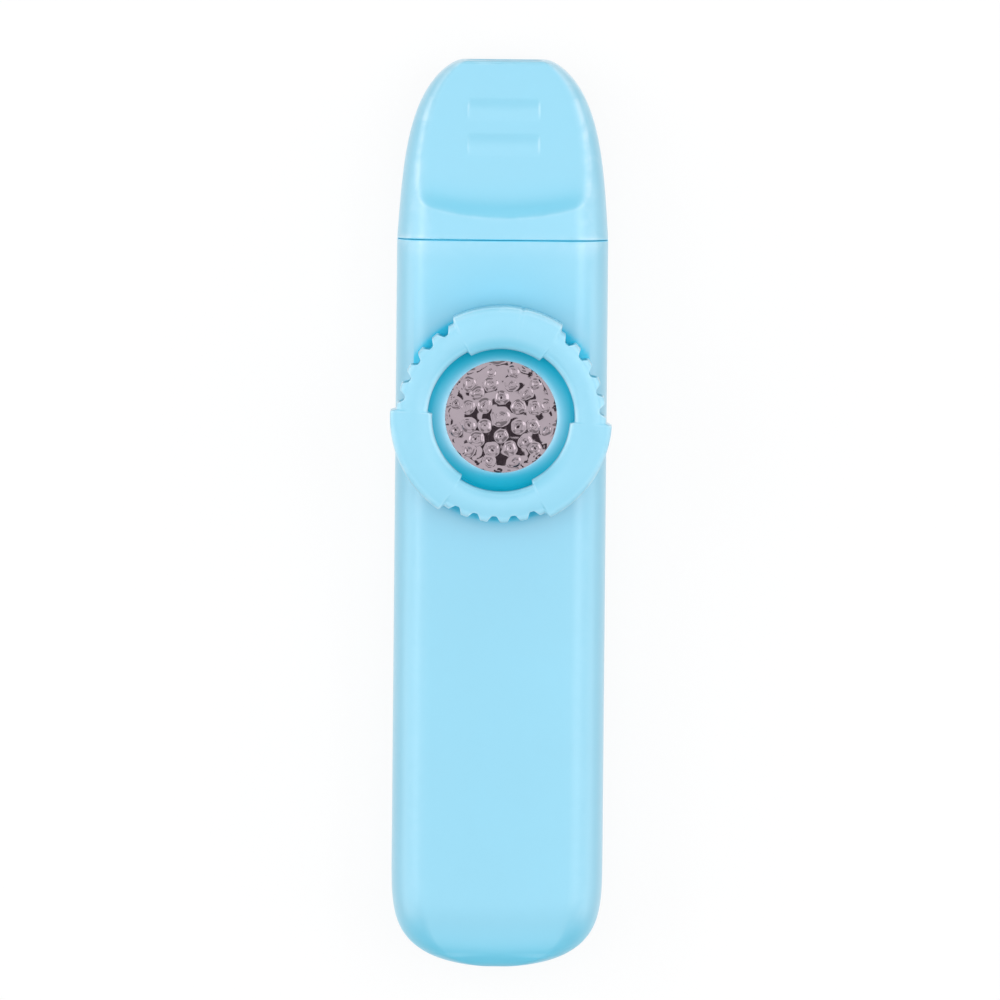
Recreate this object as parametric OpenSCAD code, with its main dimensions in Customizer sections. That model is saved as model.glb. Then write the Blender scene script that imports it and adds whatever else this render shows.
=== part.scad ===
// Kazoo with a tone dial. It lies on its flat back: +Z leaves the dial, +Y points at the mouthpiece.
// The origin is under the middle of the instrument, on the surface that it lies on.

/* [Overall] */
// Length from the tip of the mouthpiece to the end of the tail
kazoo_length = 125; // [118:1:135]
// Width of the shell
body_width = 29.1; // [28.2:0.1:31]
// Depth of the shell from its flat back to its front
body_depth = 17; // [16:0.1:20]

/* [Shell] */
// Thickness of the moulded walls
wall = 1.6; // [1.2:0.1:2]
// Radius of the four long edges
edge_radius = 5; // [4:0.1:6]
// Height of the slight crown across the front
front_crown = 0.25; // [0.1:0.05:0.5]
// Length over which the tail's outline rounds off
tail_length = 16.9; // [12:0.1:22]
// Length over which the front and the back curve in towards the end of the tail
tail_nose = 9.4; // [6:0.1:12]
// Depth of the tail at its very end
tail_depth = 8.4; // [7.6:0.1:12]
// Width of the sound slot in the end of the tail
exit_width = 13; // [9:0.1:16]
// Height of the sound slot in the end of the tail
exit_height = 5.4; // [4.8:0.1:7]
// Bevel along the rim where shell and mouthpiece meet
rim_bevel = 0.2; // [0.1:0.05:0.4]

/* [Mouthpiece] */
// Length of the mouthpiece in front of the shell
mouth_length = 24.6; // [22:0.1:30]
// Depth of the mouthpiece at its tip, before the bite facets are cut
tip_depth = 10.4; // [9.8:0.1:12]
// Thickness between the bite facets at the tip
bite_thickness = 8.2; // [6.6:0.1:8.6]
// Distance from the seam to the lowest point of a bite facet
bite_start = 3.2; // [2.5:0.1:6]
// Depth of the step where a bite facet begins
bite_step = 1; // [0.6:0.1:1.5]
// Length over which that step fades into the facet
bite_fade = 1; // [0.5:0.1:1.5]
// Radius of the crescent that the step follows
bite_radius = 48; // [30:0.1:60]
// Length of the two faint ribs on the front facet
rib_length = 9.9; // [6:0.1:11]
// Width of one rib
rib_width = 1.7; // [1.2:0.1:2.2]
// Height of one rib
rib_height = 0.1; // [0.05:0.05:0.3]
// Distance from the tip to the middle of the first rib
rib_place = 6.7; // [5:0.1:9]
// Distance from the first rib to the second
rib_pitch = 4.8; // [4:0.1:6]
// Width of the blow slot
blow_width = 10.4; // [8:0.1:11]
// Height of the blow slot
blow_height = 4.5; // [4.4:0.1:5]
// Depth to which the blow slot runs straight
blow_depth = 3; // [2:0.1:5]
// Length of the spigot that pushes into the shell
spigot_length = 8; // [6:0.1:10]
// Thickness of the mouthpiece's walls round the wind way
mouth_wall = 1.6; // [1.2:0.1:1.8]
// Thickness of the spigot's wall
spigot_wall = 1.5; // [1.2:0.1:2]
// Gap all round between spigot and shell
spigot_gap = 0.1; // [0.05:0.01:0.15]
// Gap at the seam between mouthpiece and shell
seam_gap = 0.05; // [0.02:0.01:0.1]

/* [Membrane] */
// Distance from the tip of the mouthpiece to the middle of the membrane
dial_place = 48.7; // [46:0.1:60]
// Diameter of the window over the membrane
window_d = 15.4; // [14:0.1:16]
// Width by which the sound chamber is wider than the window, on each side
chamber_margin = 0.2; // [0.1:0.05:0.4]
// Thickness of the rim that the membrane is stretched over
drum_wall = 0.8; // [0.6:0.05:1]
// Thickness of the film
film_thickness = 0.1; // [0.08:0.01:0.15]
// Height of the film's edge folded down round the drum rim
film_fold = 1; // [0.8:0.05:1.2]
// Height of the embossed dots
dot_height = 0.25; // [0.15:0.01:0.35]
// Diameter of one embossed dot
dot_d = 1.9; // [1.5:0.05:2]
// Diameter of the dot in the middle
middle_dot_d = 2.7; // [2:0.05:3]
// Width of the membrane hoop
hoop_width = 1.7; // [1.4:0.05:2]
// Height of the membrane hoop
hoop_height = 1.1; // [0.9:0.05:1.4]
// Radial gap between the hoop and what it slides along
hoop_fit = 0.06; // [0.04:0.01:0.08]
// Height of the soft seat ring under the hoop, at rest
seat_height = 1.4; // [1.2:0.05:1.8]

/* [Turret] */
// Thickness of the turret's wall
turret_wall = 1.4; // [1.3:0.05:1.8]
// Depth of the turret's floor under the front
floor_drop = 0.4; // [0.2:0.05:0.6]

/* [Presser] */
// Travel of the presser and the dial to each side of rest
dial_travel = 0.6; // [0.3:0.05:0.8]
// Gap left between the window's rim and the film when the presser is fully down
film_gap = 0.25; // [0.2:0.05:0.5]
// Thickness of the presser round the window
window_rim = 0.3; // [0.25:0.05:0.5]
// Depth of the bowl from the dial's lips to the window
bowl_depth = 2.3; // [2:0.05:2.8]
// Thickness of the flange under the dial's lips
flange_thickness = 0.9; // [0.7:0.05:1]
// Gap left between the flange and the turret when the presser is fully down
flange_gap = 0.3; // [0.2:0.05:0.5]
// Radial gap between the presser and the turret's bore
presser_fit = 0.08; // [0.05:0.01:0.1]
// Width of the foot that stands on the membrane hoop
foot_width = 1.4; // [1.2:0.05:1.5]
// Number of keys that stop the presser from turning
keys = 3; // [2:1:4]
// Width of one key
key_width = 2.4; // [1.6:0.1:3]
// Height of one key above the skirt's surface
key_depth = 0.7; // [0.5:0.05:0.8]
// Gap on each side of a key
key_gap = 0.1; // [0.08:0.01:0.15]

/* [Tone dial] */
// Radial gap between the dial's bore and the turret
dial_fit = 0.06; // [0.03:0.01:0.1]
// Gap between the flange and the dial's lips
lip_fit = 0.05; // [0.03:0.01:0.1]
// Gap left between the dial and the front when the dial is fully down
dial_gap = 0.3; // [0.2:0.05:0.6]
// Thickness of the dial's wall under the finger scallops
grip_wall = 2.33; // [2.1:0.01:2.8]
// Height by which a grip lobe stands out past the scallops
lobe_rise = 0.85; // [0.6:0.05:1.4]
// Number of grip lobes, with a field of scallops after each
lobes = 3; // [3:1:4]
// Angle that one lobe spans
lobe_angle = 60.5; // [50:0.5:64]
// Angle by which the dial is turned from the middle line at rest
dial_rest_angle = -3.5; // [-15:0.5:15]
// Number of scallops between two lobes
scallops = 5; // [3:1:5]
// Angle from the end of a lobe to the middle of the nearest scallop
scallop_margin = 7.5; // [5:0.5:9]
// Radius of one scallop
scallop_radius = 0.85; // [0.6:0.05:0.9]
// Depth of one scallop
scallop_depth = 0.87; // [0.6:0.01:1]
// Thickness of the inward lips
lip_thickness = 1.5; // [1.2:0.05:1.8]
// Reach of the lips from the dial's bore, between the lobes
wide_lip_reach = 1.96; // [1.7:0.02:2.1]
// Further reach of the lips under the lobes
narrow_lip_reach = 0.65; // [0.4:0.05:0.9]
// Width of the rounding along the dial's outer edge
outer_round = 0.8; // [0.5:0.1:1.4]
// Width of the rounding along the dial's inner edge
inner_round = 0.7; // [0.4:0.1:1.2]
// Height of both roundings
round_height = 0.6; // [0.4:0.05:0.9]

/* [Hidden] */
$fn = 96;
plastic = [0.63, 0.87, 0.96];
// A cut runs past the face that it opens by this much
overrun = 1;
// Width by which the bowl starts outside the wide lips, so that its edge doesn't show
bowl_cover = 0.13;
// Angle of the bowl's section on its ellipse, short of a quarter, so that it slopes at the window too
bowl_arc = 60;

// Counts of points: along an edge rounding, across the crown, round a scoop, along the loft
edge_steps = 10;
crown_steps = 8;
scoop_steps = 12;
loft_steps = 20;
round_steps = 6;
bowl_steps = 10;

// Dots in the inner and in each of the two outer rings, and the rings' radii as shares of the window's
inner_dots = 6;
outer_dots = 12;
dot_ring_shares = [0.35, 0.615, 0.855];

// Exponents of the two end outlines, which are stretched circles, and of the mouthpiece's side view
tail_outer_power = 4.34;
tail_inner_power = 2.28;
mouth_outer_power = 3.55;
mouth_inner_power = 2.82;
nose_power = 1.4;
// The mouthpiece's outline would close this far past its cut-off tip, as a share of its length
mouth_overshoot_share = 0.04;
// Loss of width between the seam and the tip that the outline alone does not give
mouth_taper_share = 0.115;
// Places along the mouthpiece where the wind way follows the walls, as shares of its length
wind_shares = [0.14, 0.3, 0.5, 0.68];
// Corner radius of the wind way, as a share of its half height
wind_round_share = 0.8;
// Where the tail's outline is cut off, as a share of its full width
tail_end_share = 0.12;

half_width = body_width / 2;
half_depth = body_depth / 2;
tip_y = kazoo_length / 2;
tail_y = -kazoo_length / 2;
seam_y = tip_y - mouth_length;
dial_y = tip_y - dial_place;

// Radii, from the window outwards
window_r = window_d / 2;
chamber_r = window_r + chamber_margin;
drum_r = chamber_r + drum_wall;
film_edge_r = drum_r + film_thickness;
hoop_inner_r = film_edge_r + hoop_fit;
hoop_outer_r = hoop_inner_r + hoop_width;
turret_bore_r = hoop_outer_r + hoop_fit;
turret_r = turret_bore_r + turret_wall;
skirt_r = turret_bore_r - presser_fit;
key_r = skirt_r + key_depth;
flange_r = turret_r - dial_fit;
dial_bore_r = turret_r + dial_fit;
grip_r = dial_bore_r + grip_wall;
lobe_r = grip_r + lobe_rise;
wide_lip_r = dial_bore_r - wide_lip_reach;
narrow_lip_r = wide_lip_r - narrow_lip_reach;
bowl_r = window_r + window_rim;
bowl_outer_r = wide_lip_r + bowl_cover;
bowl_size = [(bowl_outer_r - bowl_r) / (1 - cos(bowl_arc)), bowl_depth / sin(bowl_arc)];

// Heights, from the turret's floor upwards
floor_z = body_depth - floor_drop;
hoop_bottom = floor_z + seat_height;
drum_top = hoop_bottom + hoop_height;
film_top = drum_top + film_thickness;
rim_bottom = film_top + dial_travel + film_gap;
bowl_bottom = rim_bottom + window_rim;
flange_top = bowl_bottom + bowl_depth;
flange_bottom = flange_top - flange_thickness;
turret_top = flange_bottom - dial_travel - flange_gap;
lip_bottom = flange_top + lip_fit;
dial_top = lip_bottom + lip_thickness;
dial_bottom = body_depth + dial_travel + dial_gap;
dial_height = dial_top - dial_bottom;

field_angle = 360 / lobes;
scallop_pitch = (field_angle - lobe_angle - 2 * scallop_margin) / (scallops - 1);

// Points on an arc of an ellipse round a centre, from one angle to another
function arc(centre, size, from, to, steps) =
    [for (i = [0:steps]) let (a = from + (to - from) * i / steps)
        [centre[0] + size[0] * cos(a), centre[1] + size[1] * sin(a)]];

// Rounded rectangle across the instrument, with a crowned front, seen along the instrument.
// The front roundings stop short of a quarter turn, where they meet the crown at its own slope.
function outline(half_w, half_d, r, crown) =
    let (
        x = half_w - r,
        tilt = atan(2 * crown / x),
        front_x = x + r * sin(tilt),
        front = half_d - crown - r * cos(tilt),
        back = r - half_d,
        size = [r, r]
    )
    concat(
        arc([x, front], size, 0, 90 - tilt, edge_steps),
        [for (i = [1:crown_steps - 1]) let (u = 1 - 2 * i / crown_steps)
            [u * front_x, half_d - crown * u * u]],
        arc([-x, front], size, 90 + tilt, 180, edge_steps),
        arc([-x, back], size, 180, 270, edge_steps),
        arc([x, back], size, 270, 360, edge_steps)
    );

function shell_outline(inset) =
    outline(half_width - inset, half_depth - inset, edge_radius - inset, front_crown);

// The outline set at a place along the instrument, shrunk towards its own middle
function ring(y, points, share_x, share_z) =
    [for (p = points) [p[0] * share_x, y, half_depth + p[1] * share_z]];

// Rings are joined from low y to high y
module loft(rings) {
    n = len(rings[0]);
    m = len(rings);
    polyhedron(
        points = [for (r = rings) each r],
        faces = concat(
            [[for (i = [n - 1:-1:0]) i]],
            [for (j = [0:m - 2], i = [0:n - 1]) let (k = (i + 1) % n)
                each [
                    [j * n + i, j * n + k, (j + 1) * n + k],
                    [j * n + i, (j + 1) * n + k, (j + 1) * n + i]
                ]],
            [[for (i = [0:n - 1]) (m - 1) * n + i]]
        )
    );
}

// Share of the full width left at an angle round the tail's corner, and how far along it that is
function tail_share(a) = pow(sin(a), 2 / tail_inner_power);
function tail_along(a) = 1 - pow(cos(a), 2 / tail_outer_power);

// Share of the full depth left at a distance from the end of the tail
function tail_nose_share(distance) =
    let (end = tail_depth / body_depth, u = max(0, 1 - distance / tail_nose))
    end + (1 - end) * sqrt(1 - u * u);

// The shell's form, or the hollow inside it when inset by the wall
module shell_form(inset, top_y) {
    points = shell_outline(inset);
    start_a = asin(pow(tail_end_share, tail_inner_power / 2));
    length = tail_length - inset;
    loft(concat(
        [for (i = [0:loft_steps])
            let (
                a = start_a + (90 - start_a) * i / loft_steps,
                distance = length * (tail_along(a) - tail_along(start_a))
            )
            ring(tail_y + inset + distance, points, tail_share(a), tail_nose_share(distance))],
        [ring(top_y, points, 1, 1)]
    ));
}

// A straight bar with round ends, along X
module stadium(length, width) {
    square([length - width, width], center = true);
    for (side = [-1, 1])
        translate([side * (length - width) / 2, 0])
            circle(d = width);
}

// The sound slot, through the end of the tail
module exit_slot() {
    translate([0, tail_y + wall + overrun, half_depth])
        rotate([90, 0, 0])
            linear_extrude(wall + 2 * overrun)
                stadium(exit_width, exit_height);
}

// Bevelled rim of the shell, where its outline draws in
module shell_rim() {
    points = shell_outline(0);
    loft([
        ring(seam_y - rim_bevel, points, 1, 1),
        ring(seam_y, points, 1 - rim_bevel / half_width, 1 - rim_bevel / half_depth)
    ]);
}

module turret() {
    base = body_depth - edge_radius;
    translate([0, dial_y, base])
        cylinder(r = turret_r, h = turret_top - base);
}

// Pocket for the membrane, its rim left standing round the sound chamber
module turret_pocket() {
    translate([0, dial_y, 0]) {
        translate([0, 0, floor_z])
            difference() {
                cylinder(r = turret_bore_r, h = turret_top - floor_z + overrun);
                cylinder(r = drum_r, h = drum_top - floor_z);
            }
        translate([0, 0, half_depth])
            cylinder(r = chamber_r, h = turret_top - half_depth + overrun);
        keyways();
    }
}

module keyways() {
    slot_bottom = rim_bottom - dial_travel - key_gap;
    slot_r = key_r + key_gap;
    for (i = [0:keys - 1])
        rotate(360 * i / keys)
            translate([0, -key_width / 2 - key_gap, slot_bottom])
                cube([slot_r, key_width + 2 * key_gap, turret_top - slot_bottom + overrun]);
}

module body() {
    color(plastic)
        difference() {
            union() {
                shell_form(0, seam_y - rim_bevel);
                shell_rim();
                turret();
            }
            shell_form(wall, seam_y + overrun);
            exit_slot();
            turret_pocket();
        }
}

mouth_reach = mouth_length * (1 + mouth_overshoot_share);

// Shares of the shell's width and depth left at a share of the way from the seam to the tip
function mouth_share(t) =
    (1 - mouth_taper_share * t) * pow(1 - pow(t * mouth_length / mouth_reach, mouth_outer_power),
                                     1 / mouth_inner_power);
function nose_share(t) = 1 - (1 - tip_depth / body_depth) * pow(t, nose_power);

// Stations crowd towards the tip, where the outline turns fastest
function mouth_station(i) = sin(90 * i / loft_steps);

module mouth_form() {
    points = shell_outline(0);
    start_y = seam_y + seam_gap;
    length = tip_y - start_y;
    loft(concat(
        [ring(start_y, points, 1 - rim_bevel / half_width, 1 - rim_bevel / half_depth)],
        [ring(start_y + rim_bevel, points, mouth_share(0), nose_share(0))],
        [for (i = [1:loft_steps]) let (t = mouth_station(i))
            ring(start_y + length * t, points, mouth_share(t), nose_share(t))]
    ));
}

// Depth of a bite facet under the front, at a distance from the crescent where it begins
bite_reach = mouth_length - bite_start;
bite_slope = (half_depth - bite_step - bite_thickness / 2) / bite_reach;
function bite_drop(u) = bite_step * (1 - exp(-u / bite_fade)) + bite_slope * u;

// What the front bite facet removes: a dished surface turned round an upright axis past the tip
module bite_cut() {
    reach = bite_reach + bite_fade;
    rim = half_depth + overrun;
    translate([0, seam_y + bite_start + bite_radius, half_depth])
        rotate_extrude()
            polygon(concat(
                [[bite_radius - reach, rim], [bite_radius, rim]],
                [for (i = [0:scoop_steps]) let (u = reach * pow(i / scoop_steps, 2))
                    [bite_radius - u, half_depth - bite_drop(u)]]
            ));
}

// Two low ribs that follow the facet's own surface
module bite_ribs() {
    difference() {
        for (i = [0, 1])
            translate([0, tip_y - rib_place - i * rib_pitch, half_depth])
                linear_extrude(half_depth)
                    stadium(rib_length, rib_width);
        translate([0, 0, rib_height])
            bite_cut();
    }
}

module spigot() {
    points = shell_outline(wall + spigot_gap);
    loft([
        ring(seam_y - spigot_length, points, 1, 1),
        ring(seam_y + seam_gap + rim_bevel, points, 1, 1)
    ]);
}

// Outline of the wind way at a distance from the seam, its walls following the outside
function wind_outline(distance) =
    let (
        share = distance / mouth_length,
        half_w = half_width * mouth_share(share) - mouth_wall,
        half_d = half_depth - bite_drop(max(0, distance - bite_start)) - mouth_wall
    )
    outline(half_w, half_d, half_d * wind_round_share, 0);

// The wind way follows the walls, then draws in to the blow slot
module wind_way() {
    entry = shell_outline(wall + spigot_gap + spigot_wall);
    blow = outline(blow_width / 2, blow_height / 2, blow_height / 2 * wind_round_share, 0);
    blow_y = tip_y - blow_depth;
    loft(concat(
        [ring(seam_y - spigot_length - overrun, entry, 1, 1), ring(seam_y, entry, 1, 1)],
        [for (share = wind_shares) let (distance = mouth_length * share)
            ring(seam_y + distance, wind_outline(distance), 1, 1)],
        [ring(blow_y, blow, 1, 1), ring(tip_y + overrun, blow, 1, 1)]
    ));
}

module mouthpiece() {
    color(plastic)
        difference() {
            union() {
                difference() {
                    mouth_form();
                    bite_cut();
                    translate([0, 0, body_depth])
                        mirror([0, 0, 1])
                            bite_cut();
                }
                spigot();
                bite_ribs();
            }
            wind_way();
        }
}

// Section through the dial's ring, from its bottom outer corner round to its bore
function dial_section(outer_r, lip_r) =
    let (round_z = dial_top - round_height)
    concat(
        [[outer_r, dial_bottom]],
        arc([outer_r - outer_round, round_z], [outer_round, round_height], 0, 90, round_steps),
        arc([lip_r + inner_round, round_z], [inner_round, round_height], 90, 180, round_steps),
        [[lip_r, lip_bottom], [dial_bore_r, lip_bottom], [dial_bore_r, dial_bottom]]
    );

// A part of a turned ring, between two angles
module ring_sector(section, from, to) {
    reach = 2 * lobe_r;
    middle = (from + to) / 2;
    intersection() {
        rotate_extrude()
            polygon(section);
        translate([0, 0, dial_bottom - overrun])
            linear_extrude(dial_height + 2 * overrun)
                polygon([
                    [0, 0],
                    [reach * cos(from), reach * sin(from)],
                    [reach * cos(middle), reach * sin(middle)],
                    [reach * cos(to), reach * sin(to)]
                ]);
    }
}

module scallop_cuts() {
    for (i = [0:scallops - 1])
        rotate(lobe_angle / 2 + scallop_margin + scallop_pitch * i)
            translate([grip_r - scallop_depth + scallop_radius, 0, dial_bottom - overrun])
                cylinder(r = scallop_radius, h = dial_height + 2 * overrun);
}

module tone_dial() {
    color(plastic)
        translate([0, dial_y, 0])
            rotate(dial_rest_angle + 90)
                difference() {
                    union() {
                        for (i = [0:lobes - 1]) {
                            middle = field_angle * i;
                            ring_sector(dial_section(lobe_r, narrow_lip_r),
                                        middle - lobe_angle / 2, middle + lobe_angle / 2);
                            ring_sector(dial_section(grip_r, wide_lip_r),
                                        middle + lobe_angle / 2, middle + field_angle - lobe_angle / 2);
                        }
                    }
                    for (i = [0:lobes - 1])
                        rotate(field_angle * i)
                            scallop_cuts();
                }
}

// Section through the presser: foot and skirt, flange under the lips, bowl and window rim
function presser_section() =
    concat(
        [[skirt_r, drum_top], [skirt_r, flange_bottom], [flange_r, flange_bottom], [flange_r, flange_top]],
        arc([bowl_outer_r - bowl_size[0], flange_top], bowl_size, 0, -bowl_arc, bowl_steps),
        [[window_r, bowl_bottom - window_rim / 2], [window_r, rim_bottom]],
        [[skirt_r - foot_width, rim_bottom], [skirt_r - foot_width, drum_top]]
    );

module presser() {
    color(plastic)
        translate([0, dial_y, 0]) {
            rotate_extrude()
                polygon(presser_section());
            for (i = [0:keys - 1])
                rotate(360 * i / keys)
                    translate([skirt_r - foot_width / 2, -key_width / 2, rim_bottom])
                        cube([key_depth + foot_width / 2, key_width, flange_bottom - rim_bottom]);
        }
}

// One raised dot of the film's embossed pattern, a low cap of a ball
module dot(d) {
    ball_r = (d * d / 4 + dot_height * dot_height) / (2 * dot_height);
    translate([0, 0, dot_height - ball_r])
        sphere(ball_r);
}

module dot_ring(count, share, d) {
    for (i = [0:count - 1])
        rotate(360 * (i + 0.5) / count)
            translate([window_r * share, 0, 0])
                dot(d);
}

module membrane() {
    color("silver")
        translate([0, dial_y, 0]) {
            difference() {
                translate([0, 0, drum_top - film_fold])
                    cylinder(r = film_edge_r, h = film_fold + film_thickness);
                translate([0, 0, drum_top - film_fold - overrun])
                    cylinder(r = drum_r, h = film_fold + overrun);
            }
            intersection() {
                translate([0, 0, film_top]) {
                    dot(middle_dot_d);
                    dot_ring(inner_dots, dot_ring_shares[0], dot_d);
                    dot_ring(outer_dots, dot_ring_shares[1], dot_d);
                    dot_ring(outer_dots, dot_ring_shares[2], dot_d);
                }
                translate([0, 0, film_top - film_thickness / 2])
                    cylinder(r = window_r, h = dot_height + film_thickness);
            }
        }
}

module flat_ring(inner_r, outer_r, height) {
    difference() {
        cylinder(r = outer_r, h = height);
        translate([0, 0, -overrun])
            cylinder(r = inner_r, h = height + 2 * overrun);
    }
}

module membrane_hoop() {
    color("white")
        translate([0, dial_y, hoop_bottom])
            flat_ring(hoop_inner_r, hoop_outer_r, hoop_height);
}

module seat_ring() {
    color([0.2, 0.2, 0.22])
        translate([0, dial_y, floor_z])
            flat_ring(hoop_inner_r, hoop_outer_r, seat_height);
}

body();
mouthpiece();
tone_dial();
presser();
membrane();
membrane_hoop();
seat_ring();
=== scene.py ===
# %% [markdown]
# # A kazoo with a tone dial
# The instrument lies on its flat back, with its dial facing up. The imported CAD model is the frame:
# it says where every piece is and how it moves. This lesson dresses it. The moulded shell, the
# mouthpiece, the dial, the presser and the embossed film are built again as finer skins in the same
# places, and the two small rings under the presser keep their CAD solids and get a better finish.

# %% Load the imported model
import math

import bmesh
import bpy
import numpy as np
from mathutils import Matrix, Vector


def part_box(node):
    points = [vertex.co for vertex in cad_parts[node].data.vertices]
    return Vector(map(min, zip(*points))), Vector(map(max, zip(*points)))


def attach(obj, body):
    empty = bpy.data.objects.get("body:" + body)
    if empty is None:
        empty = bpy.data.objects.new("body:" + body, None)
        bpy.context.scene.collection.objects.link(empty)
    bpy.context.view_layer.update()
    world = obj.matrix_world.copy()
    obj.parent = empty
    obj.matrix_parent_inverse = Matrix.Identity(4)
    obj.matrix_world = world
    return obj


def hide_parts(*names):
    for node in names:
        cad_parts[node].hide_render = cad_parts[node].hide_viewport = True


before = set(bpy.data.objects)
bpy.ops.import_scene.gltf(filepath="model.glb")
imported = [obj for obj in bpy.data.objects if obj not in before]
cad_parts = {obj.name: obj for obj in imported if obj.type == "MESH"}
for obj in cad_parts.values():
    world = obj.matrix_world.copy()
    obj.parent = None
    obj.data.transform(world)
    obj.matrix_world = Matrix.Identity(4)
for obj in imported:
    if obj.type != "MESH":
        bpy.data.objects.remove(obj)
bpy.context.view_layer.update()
print("CAD nodes:", ", ".join(sorted(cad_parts)))

# %% [markdown]
# ## Where things are
# All sizes below are in millimetres, and only the mesh helpers turn them into metres. The places
# that the CAD boxes give are read from them, so the skins can't drift away from the solids.

# %% Places from the CAD boxes
MM = 0.001


def box_mm(node):
    """Lowest and highest corner of a CAD node, in millimetres."""
    low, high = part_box(node)
    return np.array(low) / MM, np.array(high) / MM


shell_low, shell_high = box_mm("body")
mouth_high = box_mm("mouthpiece")[1]
dial_low, dial_high = box_mm("tone_dial")
hoop_low, hoop_high = box_mm("membrane_hoop")
half_width = (shell_high[0] - shell_low[0]) / 2
body_depth = mouth_high[2]
mid_z = body_depth / 2
tip_y, tail_y, seam_y = mouth_high[1], shell_low[1], shell_high[1]
dial_y = (hoop_low[1] + hoop_high[1]) / 2
turret_top = shell_high[2]
drum_top = hoop_high[2]
flange_top = box_mm("presser")[1][2]
dial_bottom, dial_top = dial_low[2], dial_high[2]
print(f"seam {seam_y:.2f} and dial axis {dial_y:.2f} along the instrument")
print(f"tops: turret {turret_top:.2f}, drum {drum_top:.2f}, dial {dial_top:.2f}")

# %% [markdown]
# ## Closed skins from rings
# Most pieces here are moulded tubes of one kind or another: a section that changes as it goes
# along. The surest way to a closed mesh is to list its rings in order, outside first, round the lip,
# back along the inside, and to join the last ring to the first. Such a mesh has no open edge and no
# pole, and its volume says whether its faces look outward.

# %% Mesh helpers
def loop_mesh(name, rings):
    """Joins rings of points into one closed skin. Both directions close on themselves."""
    rings = np.asarray(rings, float)
    rows, columns = rings.shape[:2]
    index = np.arange(rows * columns).reshape(rows, columns)
    right, up = np.roll(index, -1, 1), np.roll(index, -1, 0)
    quads = np.stack([index, right, np.roll(right, -1, 0), up], -1).reshape(-1, 4)
    points = rings.reshape(-1, 3)
    a, b, c, d = (points[quads[:, k]] for k in range(4))
    volume = np.einsum("ij,ij->i", a, np.cross(b, c) + np.cross(c, d)).sum() / 6
    if volume < 0:
        quads = quads[:, ::-1]
    return piece_from(name, points, quads)


def linked(name, data):
    """A new object in the scene for a mesh, a lamp or a camera."""
    made = bpy.data.objects.new(name, data)
    bpy.context.scene.collection.objects.link(made)
    return made


def piece_from(name, points, faces):
    """A new object in the row frame from points in millimetres."""
    mesh = bpy.data.meshes.new(name)
    mesh.from_pydata((np.asarray(points) * MM).tolist(), [], [list(map(int, f)) for f in faces])
    return linked(name, mesh)


def bake(piece):
    """Turns what the modifiers make into the piece's own plain mesh."""
    bpy.context.view_layer.update()
    seen = piece.evaluated_get(bpy.context.evaluated_depsgraph_get())
    mesh = bpy.data.meshes.new_from_object(seen)
    old = piece.data
    piece.modifiers.clear()
    piece.data = mesh
    bpy.data.meshes.remove(old)
    return piece


def carve(piece, tool, operation):
    """Adds a tool's solid to the piece, or takes it away, and removes the tool."""
    modifier = piece.modifiers.new("carve", "BOOLEAN")
    modifier.solver = "MANIFOLD"
    modifier.operation = operation
    modifier.object = tool
    bake(piece)
    bpy.data.objects.remove(tool)


def smooth(piece, angle=32):
    """Smooth shading, with a hard edge only where two faces meet at more than the angle."""
    mesh = piece.data
    mesh.shade_smooth()
    work = bmesh.new()
    work.from_mesh(mesh)
    limit = math.radians(angle)
    for edge in work.edges:
        edge.smooth = edge.calc_face_angle(0) < limit
    work.to_mesh(mesh)
    work.free()


def report(piece):
    mesh = piece.data
    triangles = sum(len(p.vertices) - 2 for p in mesh.polygons)
    print(f"{piece.name}: {len(mesh.vertices)} points, {triangles} triangles")


# %% [markdown]
# ## Wear and painted light
# Moulded plastic gets a little paler along its edges, where hands and pockets rub it. On top of that,
# the edges that run along the instrument, which face the side lamps, get a painted highlight, and
# those that run across it much less. The sides that face the lamps are painted paler as a sheen. In
# narrow hollows, and where a surface faces away from the lamps, the plastic gets painted shade: a
# deeper colour and less shine. A shader can't know where a mesh has edges or hollows, so each skin
# carries three numbers per point: how strongly it curves outward there, how much it faces sideways,
# and how much painted shade it gets. The materials read them by name.

# %% Wear and painted light attributes
EDGE_GAIN, FLANK_GAIN, SOFTENING_ROUNDS = 2, 3, 2


def rising(value, start, width):
    """0 below the start, 1 a width further on, and an even rise in between."""
    return np.clip((value - start) / width, 0, 1)


def store(mesh, key, numbers):
    """Keeps one number per point of a mesh under a name."""
    attribute = mesh.attributes.new(key, "FLOAT", "POINT")
    attribute.data.foreach_set("value", np.asarray(numbers, np.float32))


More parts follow.
